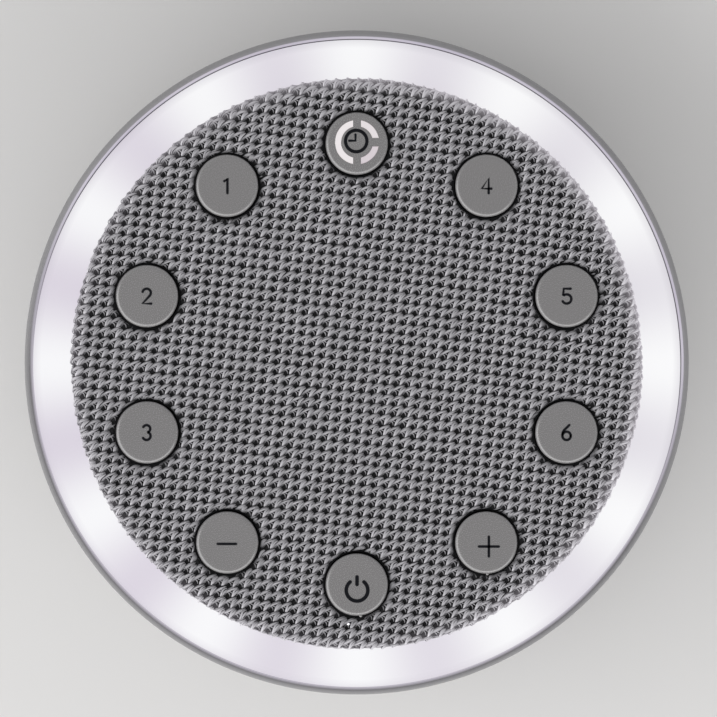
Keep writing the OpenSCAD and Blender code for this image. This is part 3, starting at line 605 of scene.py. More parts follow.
def stroke(points, width, closed=False):
    """A flat line of constant width with round ends: its vertices and faces in the plane."""
    n = len(points)
    verts, faces = [], []
    for i, (x, y) in enumerate(points):
        a = points[(i - 1) % n] if closed or i > 0 else points[i]
        b = points[(i + 1) % n] if closed or i < n - 1 else points[i]
        dx, dy = b[0] - a[0], b[1] - a[1]
        size = math.hypot(dx, dy)
        nx, ny = -dy / size * width / 2, dx / size * width / 2
        verts += [(x + nx, y + ny), (x - nx, y - ny)]
    for i in range(n if closed else n - 1):
        j = (i + 1) % n
        faces.append([2 * i, 2 * i + 1, 2 * j + 1, 2 * j])
    if not closed:
        for (x, y), (next_x, next_y) in (points[:2], points[:-3:-1]):
            away = math.degrees(math.atan2(y - next_y, x - next_x))
            end = arc((x, y), width / 2, away - 90, away + 90, 8)
            faces.append(list(range(len(verts), len(verts) + len(end))))
            verts += end
    return verts, faces


def printed(name, button, strokes, material, shift=(0, 0)):
    """Ink that rides with its cap; each stroke is what stroke() takes."""
    at = button_at(button)
    verts, faces = [], []
    for line in strokes:
        v, f = stroke(*line)
        faces += [[i + len(verts) for i in face] for face in f]
        verts += v
    mesh = mesh_of(name, [(x + at[0] + shift[0], y + at[1] + shift[1], FACE_Z) for x, y in verts], faces)
    bm = bmesh.new()
    bm.from_mesh(mesh)
    bmesh.ops.remove_doubles(bm, verts=bm.verts, dist=1e-6)
    base = [face.verts[:] for face in bm.faces]
    rim = [edge.verts[:] for edge in bm.edges if edge.is_boundary]
    raised = {v: bm.verts.new(v.co + Vector((0, 0, INK_T * MM))) for v in bm.verts[:]}
    for face in base:
        bm.faces.new([raised[v] for v in face])
    for a, b in rim:
        bm.faces.new([a, b, raised[b], raised[a]])
    bm.to_mesh(mesh)
    bm.free()
    dress(name, outward(mesh), material, button + "_body", 40)


# Strokes of plain digits in a box 1 high, about its centre
DIGITS = {
    1: [[(-0.17, 0.3), (0.04, 0.5), (0.04, -0.5)]],
    2: [arc((0, 0.22), 0.28, 165, -38, 14) + [(-0.28, -0.5), (0.3, -0.5)]],
    3: [arc((-0.02, 0.25), 0.25, 150, -80, 14) + arc((-0.02, -0.23), 0.27, 80, -150, 14)],
    4: [[(0.14, -0.5), (0.14, 0.5), (-0.32, -0.2), (0.32, -0.2)]],
    5: [[(0.26, 0.5), (-0.2, 0.5), (-0.24, 0.06)] + arc((0, -0.19), 0.31, 128, -150, 16)],
    6: [[(0.18, 0.5)] + arc((0.28, -0.18), 0.56, 125, 176, 8), arc((0, -0.22), 0.28, 0, 360, 24)],
}
DIGIT_H = 2.7
STROKE_W = 0.46


def make_marks(ink):
    """Numbers on the sound buttons, signs on the others."""
    for n, lines in DIGITS.items():
        strokes = [([(x * DIGIT_H, y * DIGIT_H) for x, y in line], STROKE_W) for line in lines]
        printed(f"number_{n}", f"sound_button_{n}", strokes, ink)
    half = 1.79
    printed("plus_sign", "volume_up_button", [
        ([(-half, 0), (half, 0)], STROKE_W), ([(0, -half), (0, half)], STROKE_W)], ink, (0.46, -0.68))
    half = 1.66
    printed("minus_sign", "volume_down_button", [([(-half, 0), (half, 0)], STROKE_W)], ink, (-0.04, -0.2))
    gap, width = 39.5, 0.66
    printed("power_sign", "power_button", [
        (arc((0, 0), 1.96, 90 + gap, 450 - gap, 40), width), ([(0, 1.05), (0, 2.42)], width)],
        ink, (0.06, -0.98))
    printed("clock_sign", "timer_button", [
        (arc((0, 0), 1.94, 0, 360, 48)[:-1], 0.60, True),
        ([(-0.13, 1.18), (-0.13, 0.06), (-1.26, 0.06)], 0.45)], ink, (-0.09, 0.43))


# -------------------- speaker


def make_surround(material):
    """The half roll round the cone: its inner half goes with the cone, and its outer half stays in place."""
    low, high = heights("speaker_surround")
    skin, landing, steps = 0.4, 1.2, 14
    roll = high - low
    edge = roll + landing - skin / 2
    crest_r = outer_radius("speaker_surround") - edge
    half = (
        arc((0, low), roll, 90, math.degrees(math.asin(skin / roll)), steps)
        + [(edge, low + skin), (edge, low), (roll - skin, low)]
        + arc((0, low), roll - skin, 0, 90, steps))
    pieces = []
    for side, name, body in ((1, "surround_outer_half", None), (-1, "surround_inner_half", "cone_body")):
        mesh = turned(name, [(crest_r + side * r, z) for r, z in half], steps=96)
        pieces.append(dress(name, mesh, material, body, 40))
        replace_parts(pieces[-1], "speaker_surround")
    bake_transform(pieces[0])


# -------------------- knitted cloth

ALONG = (1.984, -0.201)  # from one stitch to the next in its row
ACROSS = (0.212, 1.852)  # from one row to the next
FIRST_HOLE = (-0.48, 1.08)  # a hole of the knit near the middle of the top
# The knit is drawn a little out of square over the top: its shift (x, y) for u, v, uu, uv and vv,
# where u and v are a stitch's place over PULL_SPAN
PULL_SPAN = 50.0
PULL = ((0.264, 0.092), (-0.075, 0.138), (-0.290, -0.355), (-0.063, -0.392), (0.114, -0.063))

# One stitch, ply by ply, about its hole: x, y, height over the ground and width, in millimetres
PLIES = {
    "knit_arc": [
        (-0.32, 0.42, 0.16, 0.20), (-0.10, 0.57, 0.42, 0.27), (0.20, 0.71, 0.52, 0.28),
        (0.52, 0.86, 0.54, 0.27), (0.84, 0.97, 0.54, 0.28), (1.14, 1.05, 0.48, 0.28),
        (1.44, 1.15, 0.36, 0.22)],
    "knit_arc_top": [
        (-0.28, 0.62, 0.26, 0.22), (0.06, 0.79, 0.52, 0.31), (0.42, 0.96, 0.61, 0.35),
        (0.80, 1.11, 0.62, 0.35), (1.16, 1.22, 0.56, 0.33), (1.50, 1.33, 0.44, 0.28),
        (1.80, 1.42, 0.24, 0.20)],
    "knit_arc_edge": [
        (0.10, 0.98, 0.22, 0.16), (0.50, 1.17, 0.45, 0.27), (0.92, 1.33, 0.47, 0.29),
        (1.28, 1.45, 0.37, 0.26), (1.62, 1.54, 0.20, 0.18)],
    "knit_leg": [
        (0.73, -0.42, 0.20, 0.14), (0.80, -0.22, 0.80, 0.25), (0.90, 0.03, 1.00, 0.34),
        (1.01, 0.30, 0.92, 0.37), (1.11, 0.58, 0.76, 0.39), (1.24, 0.83, 0.62, 0.38),
        (1.46, 1.03, 0.52, 0.33), (1.74, 1.18, 0.34, 0.23)],
    "knit_leg_middle": [
        (0.90, -0.40, 0.08, 0.14), (1.00, -0.20, 0.46, 0.25), (1.13, 0.06, 0.66, 0.32),
        (1.28, 0.35, 0.68, 0.36), (1.48, 0.62, 0.62, 0.37), (1.74, 0.83, 0.54, 0.35),
        (2.03, 1.00, 0.36, 0.26)],
    "knit_leg_right": [
        (1.10, -0.38, 0.04, 0.14), (1.22, -0.18, 0.20, 0.24), (1.38, 0.06, 0.30, 0.28),
        (1.56, 0.30, 0.40, 0.32), (1.79, 0.52, 0.44, 0.34), (2.08, 0.72, 0.36, 0.27)],
    "knit_back": [
        (1.36, -0.40, 0.00, 0.16), (1.51, -0.20, 0.05, 0.22), (1.68, 0.02, 0.12, 0.26),
        (1.87, 0.25, 0.18, 0.27), (2.05, 0.48, 0.15, 0.24)],
    "knit_join": [
        (1.24, 0.86, 0.36, 0.20), (1.50, 1.00, 0.42, 0.27), (1.76, 1.09, 0.40, 0.26),
        (1.96, 1.14, 0.26, 0.20)],
    "knit_float": [
        (-0.16, 0.53, 0.26, 0.14), (0.08, 0.49, 0.42, 0.20), (0.29, 0.33, 0.45, 0.23),
        (0.41, 0.06, 0.37, 0.20), (0.45, -0.28, 0.20, 0.15)],
    "knit_float_right": [
        (0.28, 0.70, 0.40, 0.15), (0.54, 0.62, 0.48, 0.24), (0.76, 0.46, 0.46, 0.21),
        (0.96, 0.26, 0.36, 0.14)],
}
CREST = 1.00  # height at which a ply is at its palest, where its painted shade ends
CLOTH_BEND = 1.5  # radius of the backing where it turns down at the edge
CLOTH_EDGE = CLOTH_R - 0.27  # radius of the backing's side
EDGE_TIGHT = 0.4  # how much flatter the yarn is drawn where the knit turns down
CLOTH_FLAT = CLOTH_EDGE - CLOTH_BEND
SIDE_DROP = 2.7  # how far the backing goes down its side
HOLE_EDGE = 6.1  # radius of the backing where it ends at a cap
HOLE_BEND = 0.45  # radius of the backing where it turns down at a cap
HOLE_DROP = 1.2  # how far it goes down there at most
HOLE_TIGHT = 0.65  # how much flatter the yarn is drawn at a cap, easing over HOLE_EASE
HOLE_EASE = 1.6
HOLE_LEAN = 0.2  # how much of a ply's height leans in over a hole
YARN_SHORT = 0.6  # how far short of the backing's end the yarn stops
BACKING_Z = CLOTH_TOP_Z - 0.62


def smooth_path(points, steps):
    """Points of a smooth curve through a strand's points."""
    p = np.array(points, float)
    p = np.vstack([2 * p[0] - p[1], p, 2 * p[-1] - p[-2]])
    out = []
    for i in range(1, len(p) - 2):
        for k in range(steps):
            t = k / steps
            a, b, c, d = p[i - 1:i + 3]
            out.append(0.5 * (2 * b + (c - a) * t + (2 * a - 5 * b + 4 * c - d) * t * t
                              + (3 * b - a - 3 * c + d) * t ** 3))
    out.append(p[-2])
    return np.array(out)


def ply_mesh(name, points, sides=4, rings=7):
    """A short length of one ply, with its height kept as a shade from dark to pale."""
    path = smooth_path(points, 6)
    at = np.linspace(0, len(path) - 1, rings)
    path = np.stack([np.interp(at, range(len(path)), path[:, k]) for k in range(4)], axis=1)
    verts, faces = [], []
    for i, (x, y, z, width) in enumerate(path):
        along = path[min(i + 1, rings - 1), :3] - path[max(i - 1, 0), :3]
        along /= np.linalg.norm(along)
        side = np.cross(along, (0, 0, 1))
        side /= np.linalg.norm(side)
        up = np.cross(side, along)
        for k in range(sides):
            a = 2 * math.pi * (k + 0.25) / sides
            verts.append(np.array((x, y, z)) + width / 2 * (math.cos(a) * side + math.sin(a) * up))
    for i in range(rings - 1):
        for k in range(sides):
            n = (k + 1) % sides
            faces.append([i * sides + k, i * sides + n, (i + 1) * sides + n, (i + 1) * sides + k])
    faces += [list(range(sides - 1, -1, -1)), [(rings - 1) * sides + k for k in range(sides)]]
    mesh = outward(mesh_of(name, verts, faces))
    shade = mesh.attributes.new("height", "FLOAT", "POINT")
    shade.data.foreach_set("value", [min(max(v[2] / CREST, 0), 1) for v in verts])
    return mesh


class Tree(Nodes):
    """A geometry node tree, with named inputs."""

    def __init__(self, name, inputs):
        super().__init__(bpy.data.node_groups.new(name, "GeometryNodeTree"))
        self.ids = {}
        for label, (kind, value) in inputs.items():
            socket = self.tree.interface.new_socket(label, in_out="INPUT", socket_type="NodeSocket" + kind)
            if value is not None:
                socket.default_value = value
            self.ids[label] = socket.identifier
        self.tree.interface.new_socket("Geometry", in_out="OUTPUT", socket_type="NodeSocketGeometry")
        self.source = self.node("NodeGroupInput")

    def value(self, label):
        return Wire(self, self.source.outputs[label])

    def plus(self, a, b):
        """The sum of two vectors."""
        return self.add("ShaderNodeVectorMath", {"operation": "ADD"}, {0: a, 1: b})

    def times(self, vector, factor):
        return self.add("ShaderNodeVectorMath", {"operation": "SCALE"}, {0: vector, "Scale": factor})

    def scatter(self, reach, seed):
        """A random vector for each point, up to reach either way."""
        return self.add("FunctionNodeRandomValue", {"data_type": "FLOAT_VECTOR"}, {
            0: tuple(-c for c in reach), 1: reach, "Seed": seed})

    def chance(self, low, high, seed):
        """A random number for each point."""
        return self.add("FunctionNodeRandomValue", {"data_type": "FLOAT"}, {
            2: low, 3: high, "Seed": seed}, out=1)

    def moved(self, geometry, **where):
        return self.add("GeometryNodeSetPosition", {}, {"Geometry": geometry, **where})

    def finish(self, geometry, material):
        whole = self.add("GeometryNodeRealizeInstances", {}, {"Geometry": geometry})
        painted = self.add("GeometryNodeSetMaterial", {}, {"Geometry": whole, "Material": material})
        self.node("NodeGroupOutput", {}, {"Geometry": painted})


def grown_mesh(name, tree, values):
    """Runs a tree on an empty mesh and returns the plain mesh that it makes."""
    host = placed(name, bpy.data.meshes.new(name))
    modifier = host.modifiers.new("grow", "NODES")
    modifier.node_group = tree.tree
    for label, value in values.items():
        modifier[tree.ids[label]] = value
    return finished_mesh(host)


def knit_tree(material, reach):
    """Lays one ply on the knit's slanted grid, inside the edge and outside the caps."""
    t = Tree("knit", {
        "Ply": ("Object", None), "Middle": ("Vector", None), "Ply seed": ("Int", 1),
        "Along": ("Vector", level(ALONG)), "Across": ("Vector", level(ACROSS)),
        "Start": ("Vector", level(FIRST_HOLE)), "Reach": ("Float", reach * MM),
        "Hole": ("Float", (HOLE_EDGE - 0.1) * MM), "Pitch circle": ("Float", RING_R * MM),
        "Wander": ("Float", 0.045 * MM), "Slack": ("Float", 0.03 * MM), "Seed": ("Int", 7)})
    size = 66  # stitches from one side of the grid to the other
    grid = t.add("GeometryNodeMeshGrid", {}, {
        "Size X": size, "Size Y": size, "Vertices X": size + 1, "Vertices Y": size + 1})
    column, row, _ = t.split(t.add("GeometryNodeInputPosition"))
    spot = t.plus(t.times(t.value("Along"), column), t.times(t.value("Across"), row))
    spot = t.plus(spot, t.value("Start"))
    u, v, _ = t.split(t.times(spot, 1 / (PULL_SPAN * MM)))
    for power, shift in zip((u, v, u * u, u * v, v * v), PULL):
        spot = t.plus(spot, t.times(level(shift), power))
    laid = t.moved(grid, Position=spot)
    named = t.add("GeometryNodeSetID", {}, {"Geometry": laid, "ID": t.add("GeometryNodeInputIndex")})
    wander = t.scatter((1, 1, 0.5), t.value("Seed"))
    strayed = t.moved(named, Offset=t.times(wander, t.value("Wander")))

    # A ply is dropped past the edge, or in a cap's hole: its angle is folded into one of ten wedges
    x, y, _ = t.split(t.plus(t.add("GeometryNodeInputPosition"), t.value("Middle")))
    radius = t.length(x, y)
    wedge = 2 * math.pi / len(BUTTONS)
    folded = t.math("FLOORED_MODULO", t.math("ARCTAN2", y, x), wedge) - wedge / 2
    off = t.length(
        radius * t.math("COSINE", folded) - t.value("Pitch circle"), radius * t.math("SINE", folded))
    too_far = t.math("GREATER_THAN", radius, t.value("Reach"))
    in_hole = t.math("LESS_THAN", off, t.value("Hole"))
    kept = t.add("GeometryNodeDeleteGeometry", {"domain": "POINT"}, {
        "Geometry": strayed, "Selection": t.math("MAXIMUM", too_far, in_hole)})

    toned = t.add("GeometryNodeStoreNamedAttribute", {"data_type": "FLOAT", "domain": "POINT"}, {
        "Geometry": kept, "Name": "tone", "Value": t.chance(0.0, 1.0, t.value("Ply seed"))})
    loose = t.scatter((1, 1, 1), t.value("Ply seed") + 100.0)
    slack = t.moved(toned, Offset=t.times(loose, t.value("Slack")))
    ply = t.add("GeometryNodeObjectInfo", {}, {"Object": t.value("Ply")}, out="Geometry")
    plies = t.add("GeometryNodeInstanceOnPoints", {}, {
        "Points": slack, "Instance": ply, "Rotation": t.scatter((0.04, 0.04, 0.05), t.value("Ply seed")),
        "Scale": t.chance(0.96, 1.04, t.value("Seed"))})
    t.finish(plies, material)
    return t


def turn_down(length, radius, most=None):
    """A sheet turned down round a radius: the angle at a length along it, and the fall after."""
    return np.clip(length / radius, 0, math.pi / 2), np.clip(length - radius * math.pi / 2, 0, most)


def drape(co):
    """Bends points of the flat knit down at the edge and into the holes: flat metres to the cloth's place."""
    p = co / MM
    flat, h = p[:, :2], p[:, 2]

    # Round the caps
    centres = np.array([button_at(b) for b in BUTTONS])
    off = flat[:, None] - centres[None]
    distance = np.linalg.norm(off, axis=2)
    near = distance.argmin(1)
    every = np.arange(len(p))
    d = distance[every, near]
    away = off[every, near] / np.maximum(d, 1e-6)[:, None]
    bend_at = HOLE_EDGE + HOLE_BEND
    inside = d < bend_at
    low_h = h * (1 - HOLE_TIGHT + HOLE_TIGHT * np.clip((d - HOLE_EDGE) / HOLE_EASE, 0, 1))
    angle, fall = turn_down(bend_at - d, HOLE_BEND, HOLE_DROP)
    hole_r = bend_at - HOLE_BEND * np.sin(angle) - np.clip(low_h, 0, None) * HOLE_LEAN * np.sin(angle)
    hole_z = BACKING_Z - HOLE_BEND * (1 - np.cos(angle)) - fall + low_h * np.cos(angle)
    xy = np.where(inside[:, None], centres[near] + away * hole_r[:, None], flat)
    z = np.where(inside, hole_z, BACKING_Z + low_h)

    # Over the outer edge
    r = np.maximum(np.hypot(p[:, 0], p[:, 1]), 1e-6)
    over = r > CLOTH_FLAT
    angle, fall = turn_down(r - CLOTH_FLAT, CLOTH_BEND)
    outer_r = CLOTH_BEND + h * (1 - EDGE_TIGHT * angle / (math.pi / 2))
    edge_r = CLOTH_FLAT + outer_r * np.sin(angle)
    edge_z = BACKING_Z - CLOTH_BEND + outer_r * np.cos(angle) - fall
    xy = np.where(over[:, None], flat / r[:, None] * edge_r[:, None], xy)
    z = np.where(over, edge_z, z)
    return np.column_stack([xy, z]) * MM


def draped(mesh):
    """The same mesh, bent to the cloth's place."""
    co = np.empty(len(mesh.vertices) * 3)
    mesh.vertices.foreach_get("co", co)
    mesh.vertices.foreach_set("co", drape(co.reshape(-1, 3)).ravel())
    mesh.update()
    return mesh


def make_knit(yarn, ground):
    """The knitted cover: a thin ground and the yarn that stands on it."""
    flat_r = CLOTH_FLAT + CLOTH_BEND * math.pi / 2 + SIDE_DROP
    tree = knit_tree(yarn, flat_r - YARN_SHORT)
    for seed, (name, points) in enumerate(PLIES.items(), start=20):
        shape = placed("one_" + name, ply_mesh("one_" + name, points))
        middle = np.mean([point[:2] for point in points], axis=0)
        mesh = grown_mesh(name, tree, {"Ply": shape, "Middle": level(middle), "Ply seed": seed})
        bpy.data.objects.remove(shape)
        dress(name, draped(mesh), yarn, smooth=75)
    backing = dress("knit_ground", draped(ground_mesh(flat_r)), ground, smooth=60)
    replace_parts(backing, "cloth_cover")
    holes = len(BUTTONS) * math.pi * (HOLE_EDGE * MM) ** 2
    2 * flat_r * MM
    2 * flat_r * MM
    math.pi * (flat_r * MM) ** 2 - holes


def ground_mesh(flat_r, n=250):
    """The knit's own ground, laid flat: a round sheet with a clean hole for each cap."""
    step = 2 * flat_r / n
    rims = [((0.0, 0.0), flat_r, False)] + [(button_at(b), HOLE_EDGE, True) for b in BUTTONS]
    axis = (np.arange(n + 1) - n / 2) * step
    x, y = (g.ravel().copy() for g in np.meshgrid(axis, axis, indexing="ij"))
    inside = np.ones(len(x), bool)
    for (a, b), r, outside in rims:
        d = np.hypot(x - a, y - b)
        close = np.abs(d - r) < 0.55 * step
        pull = np.where(close, r / np.maximum(d, 1e-9), 1.0)
        x, y = a + (x - a) * pull, b + (y - b) * pull
        inside &= close | ((d > r) if outside else (d < r))
    quads = []
    for i in range(n):
        for j in range(n):
            a, b = i * (n + 1) + j, (i + 1) * (n + 1) + j
            quad = [a, b, b + 1, a + 1]
            if all(inside[q] for q in quad):
                quads.append(quad)
    used = sorted({q for quad in quads for q in quad})
    new = {q: i for i, q in enumerate(used)}
    return mesh_of("knit_ground", [(x[q], y[q], 0) for q in used], [[new[q] for q in quad] for quad in quads])


# -------------------- paints

CAP_GREY = srgb(118, 116, 116)
CASE_GREY = srgb(134, 133, 135)
YARN_GREY = srgb(192, 190, 194)
# Painted shade: the colour of the lowest parts of the yarn
YARN_PAINTED_SHADE = srgb(46, 45, 48)
BLACK = (0, 0, 0)

# Level directions of the side where the knit's edge has more painted glow, of the paler side of the lit ring,
# and of the case's far side, where its lip has painted glow all over
GLOW_SIDE, PALE_SIDE, LIT_SIDE = (0.866, 0.5), (0.966, 0.26), (0.26, 0.966)


def painted_edge_glow(p):
    """Painted glow at the knit's edge by the lit ring, stronger on one side: emission that stands in for
    light on the edge.
    """
    x, y, _ = p.coordinates()
    edge = p.span(p.length(x, y), CLOTH_EDGE - 2.6, CLOTH_EDGE)
    side = p.span(p.reach(GLOW_SIDE, x, y), -0.4 * CLOTH_EDGE, CLOTH_EDGE)
    return p.mix(edge ** 1.4, BLACK, p.mix(side, (0.055, 0.051, 0.057), (0.242, 0.228, 0.247)))


def yarn_paint():
    """Grey yarn with painted shade, darker the lower a ply lies in the knit, and painted glow at its edge;
    each ply has its own tone, with fine fibres across it.
    """
    p = Paint("knit_yarn", YARN_GREY, 0.8, Emission_Strength=1.0)
    tone = p.add("ShaderNodeAttribute", {"attribute_name": "tone"}, out="Fac")
    height = p.add("ShaderNodeAttribute", {"attribute_name": "height"}, out="Fac")
    fuzz = p.noise(0.22, detail=3, rough=0.65)
    blend = tone * 0.4 + fuzz * 0.6
    return p.set(
        # Painted shade: the lower a ply lies in the knit, the darker its colour
        Base_Color=p.mix(p.remap(height, 0.0, 0.95), YARN_PAINTED_SHADE, p.shade_by(blend, 0.3)),
        Emission_Color=painted_edge_glow(p),
        Normal=p.bump(fuzz, 0.05, 0.6))


def ground_paint():
    """The dark ground under the yarn, with faint threads: near-black painted shade for the dark down in the
    knit's holes, and painted glow at its edge.
    """
    p = Paint("knit_ground", BLACK, 0.9, Emission_Strength=1.0)
    threads = p.noise(0.4)
    return p.set(
        # Painted shade: near-black for the dark down in the knit's holes
        Base_Color=p.mix(p.remap(threads, 0.35, 0.65), srgb(5, 5, 6), srgb(36, 35, 38)),
        Emission_Color=painted_edge_glow(p),
        Normal=p.bump(threads, 0.06))


def cap_paint():
    """The caps' plastic: satin on top; down in the gap round each cap it is dark with painted shade,
    near-black, glossier and metallic.
    """
    p = Paint("cap_plastic", CAP_GREY, 0.3, IOR=1.65, Specular_IOR_Level=1.0)
    grain, tone = p.grain(0.18)
    _, _, z = p.coordinates()
    # Painted shade: below the face, down in the gap, the wall goes near-black, glossier and metallic
    gap_shade = p.span(z, CAP_TOP_Z - 0.42, CAP_TOP_Z - 0.8)
    satin = p.remap(grain, 0.3, 0.7, 0.22, 0.30)
    return p.set(
        Base_Color=p.mix(gap_shade, p.shade_by(tone, 0.04), srgb(9, 9, 10)),
        Roughness=satin - gap_shade * 0.2,
        Metallic=gap_shade,
        Normal=p.bump(grain, 0.006))


def over_lamps(p, x, y):
    """1 over each lamp of the lit ring and 0 halfway between."""
    return p.remap(p.math("COSINE", p.math("ARCTAN2", y, x) * float(LAMPS)), -1.0, 1.0)


def light_paint():
    """Opal plastic, lit from below by a ring of lamps: brightest over each lamp, dimmer at its shoulder,
    and a little paler on one side of the machine."""
    p = Paint("opal", (0.08, 0.08, 0.083), 0.55, Emission_Strength=1.0, Specular_IOR_Level=0.25)
    x, y, _ = p.coordinates()
    face = p.span(p.length(x, y), LIGHT_R - 1.6, LIGHT_R, 1.0, 0.0)
    side = p.span(p.reach(PALE_SIDE, x, y), -LIGHT_R, LIGHT_R)
    between = p.mix(side, (0.612, 0.566, 0.646), (0.708, 0.688, 0.730))
    over_lamp = p.mix(side, (0.832, 0.830, 0.848), (0.870, 0.869, 0.878))
    glow = p.mix(over_lamps(p, x, y) * (face * 0.25 + 0.75), between, over_lamp)
    return p.set(
        Emission_Color=p.mix(face * 0.2 + 0.8, (0.25, 0.23, 0.28), glow),
        Normal=p.bump(p.noise(0.3), 0.004))


def case_paint():
    """The case's plastic, with a painted glow from the lit ring on its lip: all of the lip on the far side,
    where a painted dark line marks the gap between the two, and only its inner edge on the near side.
    On the near side the case is also darker towards its lip with painted shade."""
    p = Paint("case_plastic", CASE_GREY, 0.55, Emission_Strength=1.0, Specular_IOR_Level=0.25)
    grain, tone = p.grain(0.25)
    x, y, z = p.coordinates()
    radius = p.length(x, y)
    gap_r = LIGHT_R + LIP_GAP
    far = p.span(p.reach(LIT_SIDE, x, y), -0.3 * CASE_R, 0.3 * CASE_R)

    # Painted glow on the near side: only the lip's inner edge, beside the gap
    wall = p.span(z, LIP_Z - 2.0, LIP_Z - 1.2)
    spill = p.span(radius, gap_r + 0.42, gap_r + 0.02)
    near_glow = p.mix(spill * wall, BLACK, (0.36, 0.34, 0.385))
    # Painted glow on the far side: over the lip past the gap, paler over each lamp
    top = p.span(z, LIP_Z - 0.5, LIP_Z - 0.05, 0.12, 1.0) * p.span(z, LIP_Z - 5, LIP_Z)
    past_gap = p.span(radius, gap_r - 0.02, gap_r + 0.1)
    lamplight = p.mix(over_lamps(p, x, y) * 0.25, (0.34, 0.31, 0.385), (0.5, 0.48, 0.53))
    far_glow = p.mix(top * past_gap, BLACK, lamplight)

    # Painted shadow: a dark line in the gap between the lit ring and the lip, on the far side
    gap_shadow = p.span(radius, gap_r + 0.03, gap_r)
    # Painted shade: on the near side the plastic goes darker towards the lip
    shade = (1 - far) * p.span(z, LIP_Z - 6.5, LIP_Z - 0.5) * 0.75
    plastic = p.mix(shade, p.shade_by(tone, 0.05), srgb(84, 82, 86))
    return p.set(
        Base_Color=p.mix(gap_shadow * far, plastic, srgb(70, 66, 74)),
        Roughness=p.remap(grain, 0.3, 0.7, 0.5, 0.6),
        Emission_Color=p.mix(far, near_glow, far_glow),
        Normal=p.bump(grain, 0.008))


def window_paint():
    """Frosted windows, brightest on the left and dimmest at the lower right."""
    p = Paint("lit_window", (0.3, 0.3, 0.31), 0.4, Emission_Strength=1.0)
    x, y, _ = p.coordinates()
    cap_x, cap_y = button_at("timer_button")
    right = p.span(x, cap_x - 0.5, cap_x + 0.5)
    low = p.span(y, cap_y + 0.8, cap_y - 0.4)
    grain = p.noise(0.8)
    left_glow = p.shade_by(grain, 0.05, (0.536, 0.491, 0.489))
    right_glow = p.mix(low, (0.473, 0.424, 0.428), (0.377, 0.312, 0.335))
    return p.set(Emission_Color=p.mix(right, left_glow, right_glow))


def status_paint():
    """A clear lamp that is lit."""
    p = Paint("status_light", (0.8, 0.8, 0.85), 0.3, Emission_Strength=3.0)
    return p.set(Emission_Color=p.mix(p.noise(0.5, detail=1), (0.8, 0.8, 0.9), (1, 1, 1)))


STEEL = metal("steel", (0.55, 0.56, 0.58))
NODE_PAINTS = {
    "foot_ring": rubber("foot_rubber", (0.03, 0.03, 0.032)),
    "base_plate": moulded("base_plastic", srgb(118, 117, 119), 0.55, grain_mm=0.35, depth_mm=0.03),
    "light_reflector": moulded("reflector_white", (0.85, 0.85, 0.83), 0.4),
    "light_ring_board": board("lamp_board", (0.8, 0.8, 0.77), (0.6, 0.58, 0.5)),
    "top_frame": moulded("frame_plastic", (0.66, 0.66, 0.65), 0.5),
    "grille_plate": moulded("grille_plastic", (0.008, 0.008, 0.009), 0.7, Specular_IOR_Level=0.15),
    "button_board": board("green_board", (0.03, 0.15, 0.07), (0.08, 0.26, 0.12)),
    "button_switches": moulded("switch_plastic", (0.02, 0.02, 0.022), 0.45),
    "speaker_basket": moulded("basket_paint", (0.12, 0.12, 0.125), 0.4, Metallic=0.3),
    "speaker_magnet": moulded("ferrite", (0.04, 0.04, 0.042), 0.7, grain_mm=0.4, depth_mm=0.03),
    "speaker_cone": fibre("cone_paper", (0.035, 0.035, 0.037)),
    "speaker_surround": rubber("foam", (0.05, 0.05, 0.052)),
    "speaker_spider": fibre("spider_cloth", (0.55, 0.36, 0.13)),
    "speaker_voice_coil": metal("copper", (0.6, 0.28, 0.12), 0.35, (1, 1, 8)),
    "speaker_terminals": metal("tin", (0.6, 0.48, 0.2), 0.3),
    "main_board_chips": moulded("chip_plastic", (0.015, 0.015, 0.017), 0.55),
    "main_board_capacitors": moulded("can_sleeve", (0.05, 0.08, 0.16), 0.3),
    "lead_headers": moulded("header_plastic", (0.82, 0.79, 0.7), 0.45),
    "speaker_leads": moulded("red_lead", (0.45, 0.03, 0.02), 0.35),
    "led_leads": moulded("grey_lead", (0.65, 0.65, 0.65), 0.35),
    "button_ribbon": moulded("ribbon", (0.75, 0.73, 0.65), 0.35),
    "timer_leds": lamp("lamp_chip", (0.95, 0.9, 0.65)),
}
SAME_PAINT = {
    "main_board": "button_board", "speaker_dust_cap": "speaker_cone", "speaker_gasket": "speaker_surround",
    "ribbon_sockets": "lead_headers", "status_led": "timer_leds", "light_ring_leds": "timer_leds",
}


def paint_nodes():
    """Gives every CAD node that is still shown its own finish."""
    for name, obj in frame["nodes"].items():
        key = "button_switches" if "plunger" in name else SAME_PAINT.get(name, name)
        for part in obj.material_slots:
            part.material = NODE_PAINTS.get(key, STEEL)


# -------------------- the machine

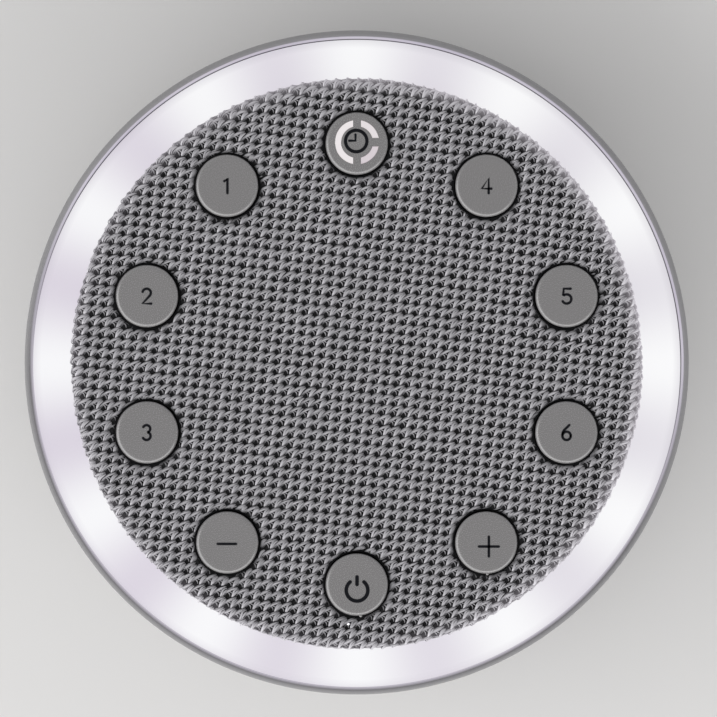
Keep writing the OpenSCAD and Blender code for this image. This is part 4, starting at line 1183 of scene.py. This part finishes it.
paint_nodes()
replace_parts(make_case(case_paint()), "housing")
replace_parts(make_light_ring(light_paint()), "light_ring")
CAP_PAINT = cap_paint()
for button in BUTTONS:
    make_cap(button, CAP_PAINT)
make_marks(moulded("ink", srgb(14, 15, 20), 0.85, grain_mm=0.1, spread=0.2, Specular_IOR_Level=0.15))
make_windows(window_paint())
make_knit(yarn_paint(), ground_paint())
make_surround(NODE_PAINTS["speaker_surround"])
make_status_light(status_paint())

# -------------------- floor and light


def light_sky(zenith, horizon):
    """An even sky that is brighter towards the horizon, as round a light tent."""
    world = bpy.data.worlds.new("sky")
    bpy.context.scene.world = world
    world.use_nodes = True
    sky = Nodes(world.node_tree)
    height = sky.split(sky.add("ShaderNodeTexCoord", out="Generated"))[2]
    background = sky.tree.nodes["Background"].inputs
    sky.put(background["Strength"], sky.add("ShaderNodeMapRange", {}, {
        "Value": height, "To Min": horizon, "To Max": zenith}))
    sky.put(background["Color"], (0.985, 0.99, 1.0, 1))


def add_lamp(name, azimuth, elevation, distance, width, height, power):
    """A wide soft light that looks at the top; azimuth from +X towards +Y."""
    data = bpy.data.lights.new(name, "AREA")
    data.shape, data.size, data.size_y, data.energy = "RECTANGLE", width, height, power
    a, e = math.radians(azimuth), math.radians(elevation)
    away = Vector((math.cos(e) * math.cos(a), math.cos(e) * math.sin(a), math.sin(e)))
    obj = placed(name, data)
    obj.location = Vector((0, 0, LIP_Z * MM)) + distance * away
    obj.rotation_euler = away.to_track_quat("Z", "Y").to_euler()


def make_stage():
    """A pale table top under a soft window light and an even sky."""
    p = Paint("table", (0.72, 0.71, 0.70), 0.7)
    paint = p.set(Base_Color=p.shade_by(p.noise(60, detail=3), 0.02))
    half = 1500
    top = mesh_of("table", [(-half, -half, 0), (half, -half, 0), (half, half, 0), (-half, half, 0)],
                  [(0, 1, 2, 3)])
    dress("table", top, paint, body=None)

    light_sky(zenith=0.39, horizon=1.0)
    add_lamp("window_light", azimuth=-145, elevation=34, distance=1.2, width=2.2, height=1.2, power=12.5)
    add_lamp("fill_light", azimuth=-62, elevation=30, distance=1.2, width=1.2, height=0.8, power=4.5)


make_stage()
bpy.context.scene.view_settings.view_transform = "Standard"
